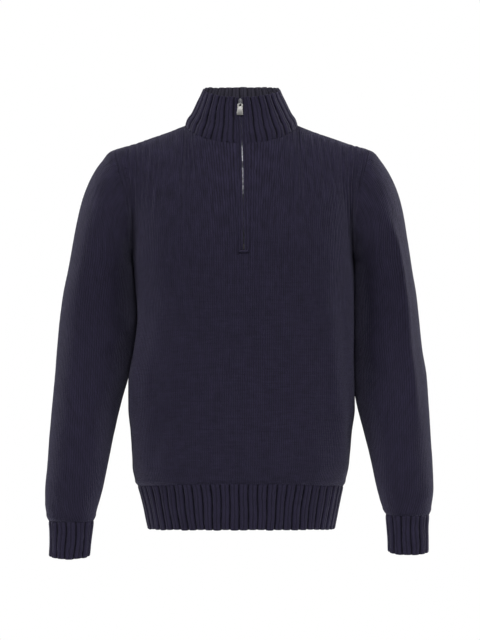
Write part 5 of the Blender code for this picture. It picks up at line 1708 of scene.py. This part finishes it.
# painted light: the collar's inward facing faces get the lighter copy of the rib knit
collar.data.materials.append(COLLAR_INSIDE_PAINTED_LIGHT)
for polygon in collar.data.polygons:
    way = Vector((polygon.center.x, polygon.center.y - NECK_Y))
    if way.length > 1e-6 and (polygon.normal.x * way.x + polygon.normal.y * way.y) / way.length < -0.15:
        polygon.material_index = 1
cuff_left, cuff_left_grid = make_cuff(-1, "cuff_left", CUFF_LEFT, 3, 51)
cuff_right, cuff_right_grid = make_cuff(1, "cuff_right", CUFF_RIGHT, 4, 61)

plain_front, _ = body_panel(False)
zipper = Zip(plain_front)
edgings, end_bar = make_edging(zipper)
teeth, braids = make_teeth(zipper)
stop_block = make_stop(zipper)
slider_body, pull_plate = make_slider(zipper)
for side in ("left", "right"):
    node = frame["nodes"]["zip_tape_" + side]
    node.data.materials.clear()
    node.data.materials.append(TAPE)
    for s in node.material_slots:
        s.material = TAPE

# overlocked seams inside
low = len(LOW_LEVELS) - 1
depth = CLOTH + 0.0009
for index, name in ((0, "left"), (-1, "right")):
    line = [front_grid[i, index] - front_normals[i, index] * depth for i in range(0, low)]
    seam_cord("side_seam_" + name, np.array(line) + 0)
for grid, into, name in ((left_grid, left_normals, "left"), (right_grid, right_normals, "right")):
    ring = grid[1] - into[1] * depth
    seam_cord("armhole_seam_" + name, ring, closed=True)
    ring = grid[-1] - into[-1] * depth
    seam_cord("cuff_seam_" + name, ring, closed=True)
ring = np.concatenate([front_grid[0] - front_normals[0] * depth, (back_grid[0] - back_normals[0] * depth)[::-1][1:-1]])
seam_cord("hem_seam", ring, closed=True)
for j0, j1, name in ((0, SHOULDER_CELLS + 1, "left"), (front_grid.shape[1] - SHOULDER_CELLS - 1, front_grid.shape[1], "right")):
    line = front_grid[-1, j0:j1] - front_normals[-1, j0:j1] * depth
    seam_cord("shoulder_seam_" + name, line)

# shaping marks beside the armholes
cols = front_grid.shape[1]
marks = []
for row, col, half, slant in (
    (len(LOW_LEVELS) + 29, 14, 0.0032, -38), (len(LOW_LEVELS) + 31, 12, 0.0030, 42), (len(LOW_LEVELS) + 33, 14, 0.0032, -35),
    (len(LOW_LEVELS) + 35, 12, 0.0028, 40), (len(LOW_LEVELS) + 25, 13, 0.0028, -40),
):
    marks.append((row, col, half, slant))
    marks.append((row - 1, cols - 1 - col, half * 0.8, -slant))
make_marks("shaping_marks_front", front_grid, front_normals, marks)
make_marks("shaping_marks_back", back_grid, back_normals, marks)

# ---------------------------------------------------------------- camera, light, floor
AMBIENT = 0.28
scene = bpy.context.scene
camera_data = bpy.data.cameras.new("camera")
camera = bpy.data.objects.new("camera", camera_data)
scene.collection.objects.link(camera)
camera.location = (-0.0026, -4.0, -0.3298)
camera.rotation_euler = (math.pi / 2, 0, 0)
camera_data.sensor_width = 36
camera_data.sensor_fit = "AUTO"
camera_data.lens = 132.35
camera_data.dof.use_dof = False
camera_data.clip_start, camera_data.clip_end = 0.1, 500
scene.camera = camera

# the backdrop is white paper; the light that comes off it is softer
world = bpy.data.worlds.new("world")
world.use_nodes = True
tree = world.node_tree
seen = tree.nodes["Background"]
seen.inputs[0].default_value = (1, 1, 1, 1)
seen.inputs[1].default_value = 1.0
given = tree.nodes.new("ShaderNodeBackground")
given.inputs[0].default_value = (0.97, 0.98, 1.0, 1)
given.inputs[1].default_value = AMBIENT
path = tree.nodes.new("ShaderNodeLightPath")
either = tree.nodes.new("ShaderNodeMixShader")
tree.links.new(path.outputs["Is Camera Ray"], either.inputs[0])
tree.links.new(given.outputs[0], either.inputs[1])
tree.links.new(seen.outputs[0], either.inputs[2])
tree.links.new(either.outputs[0], tree.nodes["World Output"].inputs[0])
scene.world = world
scene.view_settings.view_transform = "Standard"
scene.view_settings.look = "None"
scene.view_settings.exposure = 0
scene.view_settings.gamma = 1


def area_light(name, place, target, size, power):
    data = bpy.data.lights.new(name, "AREA")
    data.shape = "DISK"
    data.size = size
    data.energy = power
    lamp = bpy.data.objects.new(name, data)
    scene.collection.objects.link(lamp)
    lamp.location = place
    lamp.visible_camera = False
    lamp.rotation_euler = (Vector(target) - Vector(place)).to_track_quat("-Z", "Y").to_euler()
    return lamp


area_light("key_left", (-3.0, -1.7, 1.3), (0, 0, -0.35), 1.5, 118)
area_light("key_right", (3.0, -1.6, 0.9), (0, 0, -0.35), 1.4, 99)
area_light("top", (0, -2.1, 2.3), (0, 0, -0.25), 1.3, 58)
area_light("rim_left", (-2.0, 1.4, 0.5), (-0.1, 0, -0.3), 1.3, 40)
area_light("rim_right", (2.0, 1.4, 0.3), (0.1, 0, -0.3), 1.3, 60)

floor_mesh = bpy.data.meshes.new("floor")
ground = bmesh.new()
bmesh.ops.create_circle(ground, cap_ends=True, segments=96, radius=0.9)
ground.to_mesh(floor_mesh)
ground.free()
floor = bpy.data.objects.new("floor", floor_mesh)
floor.location = (0, 0, -1.0)
scene.collection.objects.link(floor)
floor_look = Nodes("pale_floor")
floor_look.shade((0.985, 0.985, 0.985), floor_look.ramp(floor_look.noise(floor_look.place(), 2.0, 2.0), 0.3, 0.7, 0.99, 1.01))
floor_look.shader.inputs["Roughness"].default_value = 0.9
floor_look.shader.inputs["Specular IOR Level"].default_value = 0.0
floor_mesh.materials.append(floor_look.material)
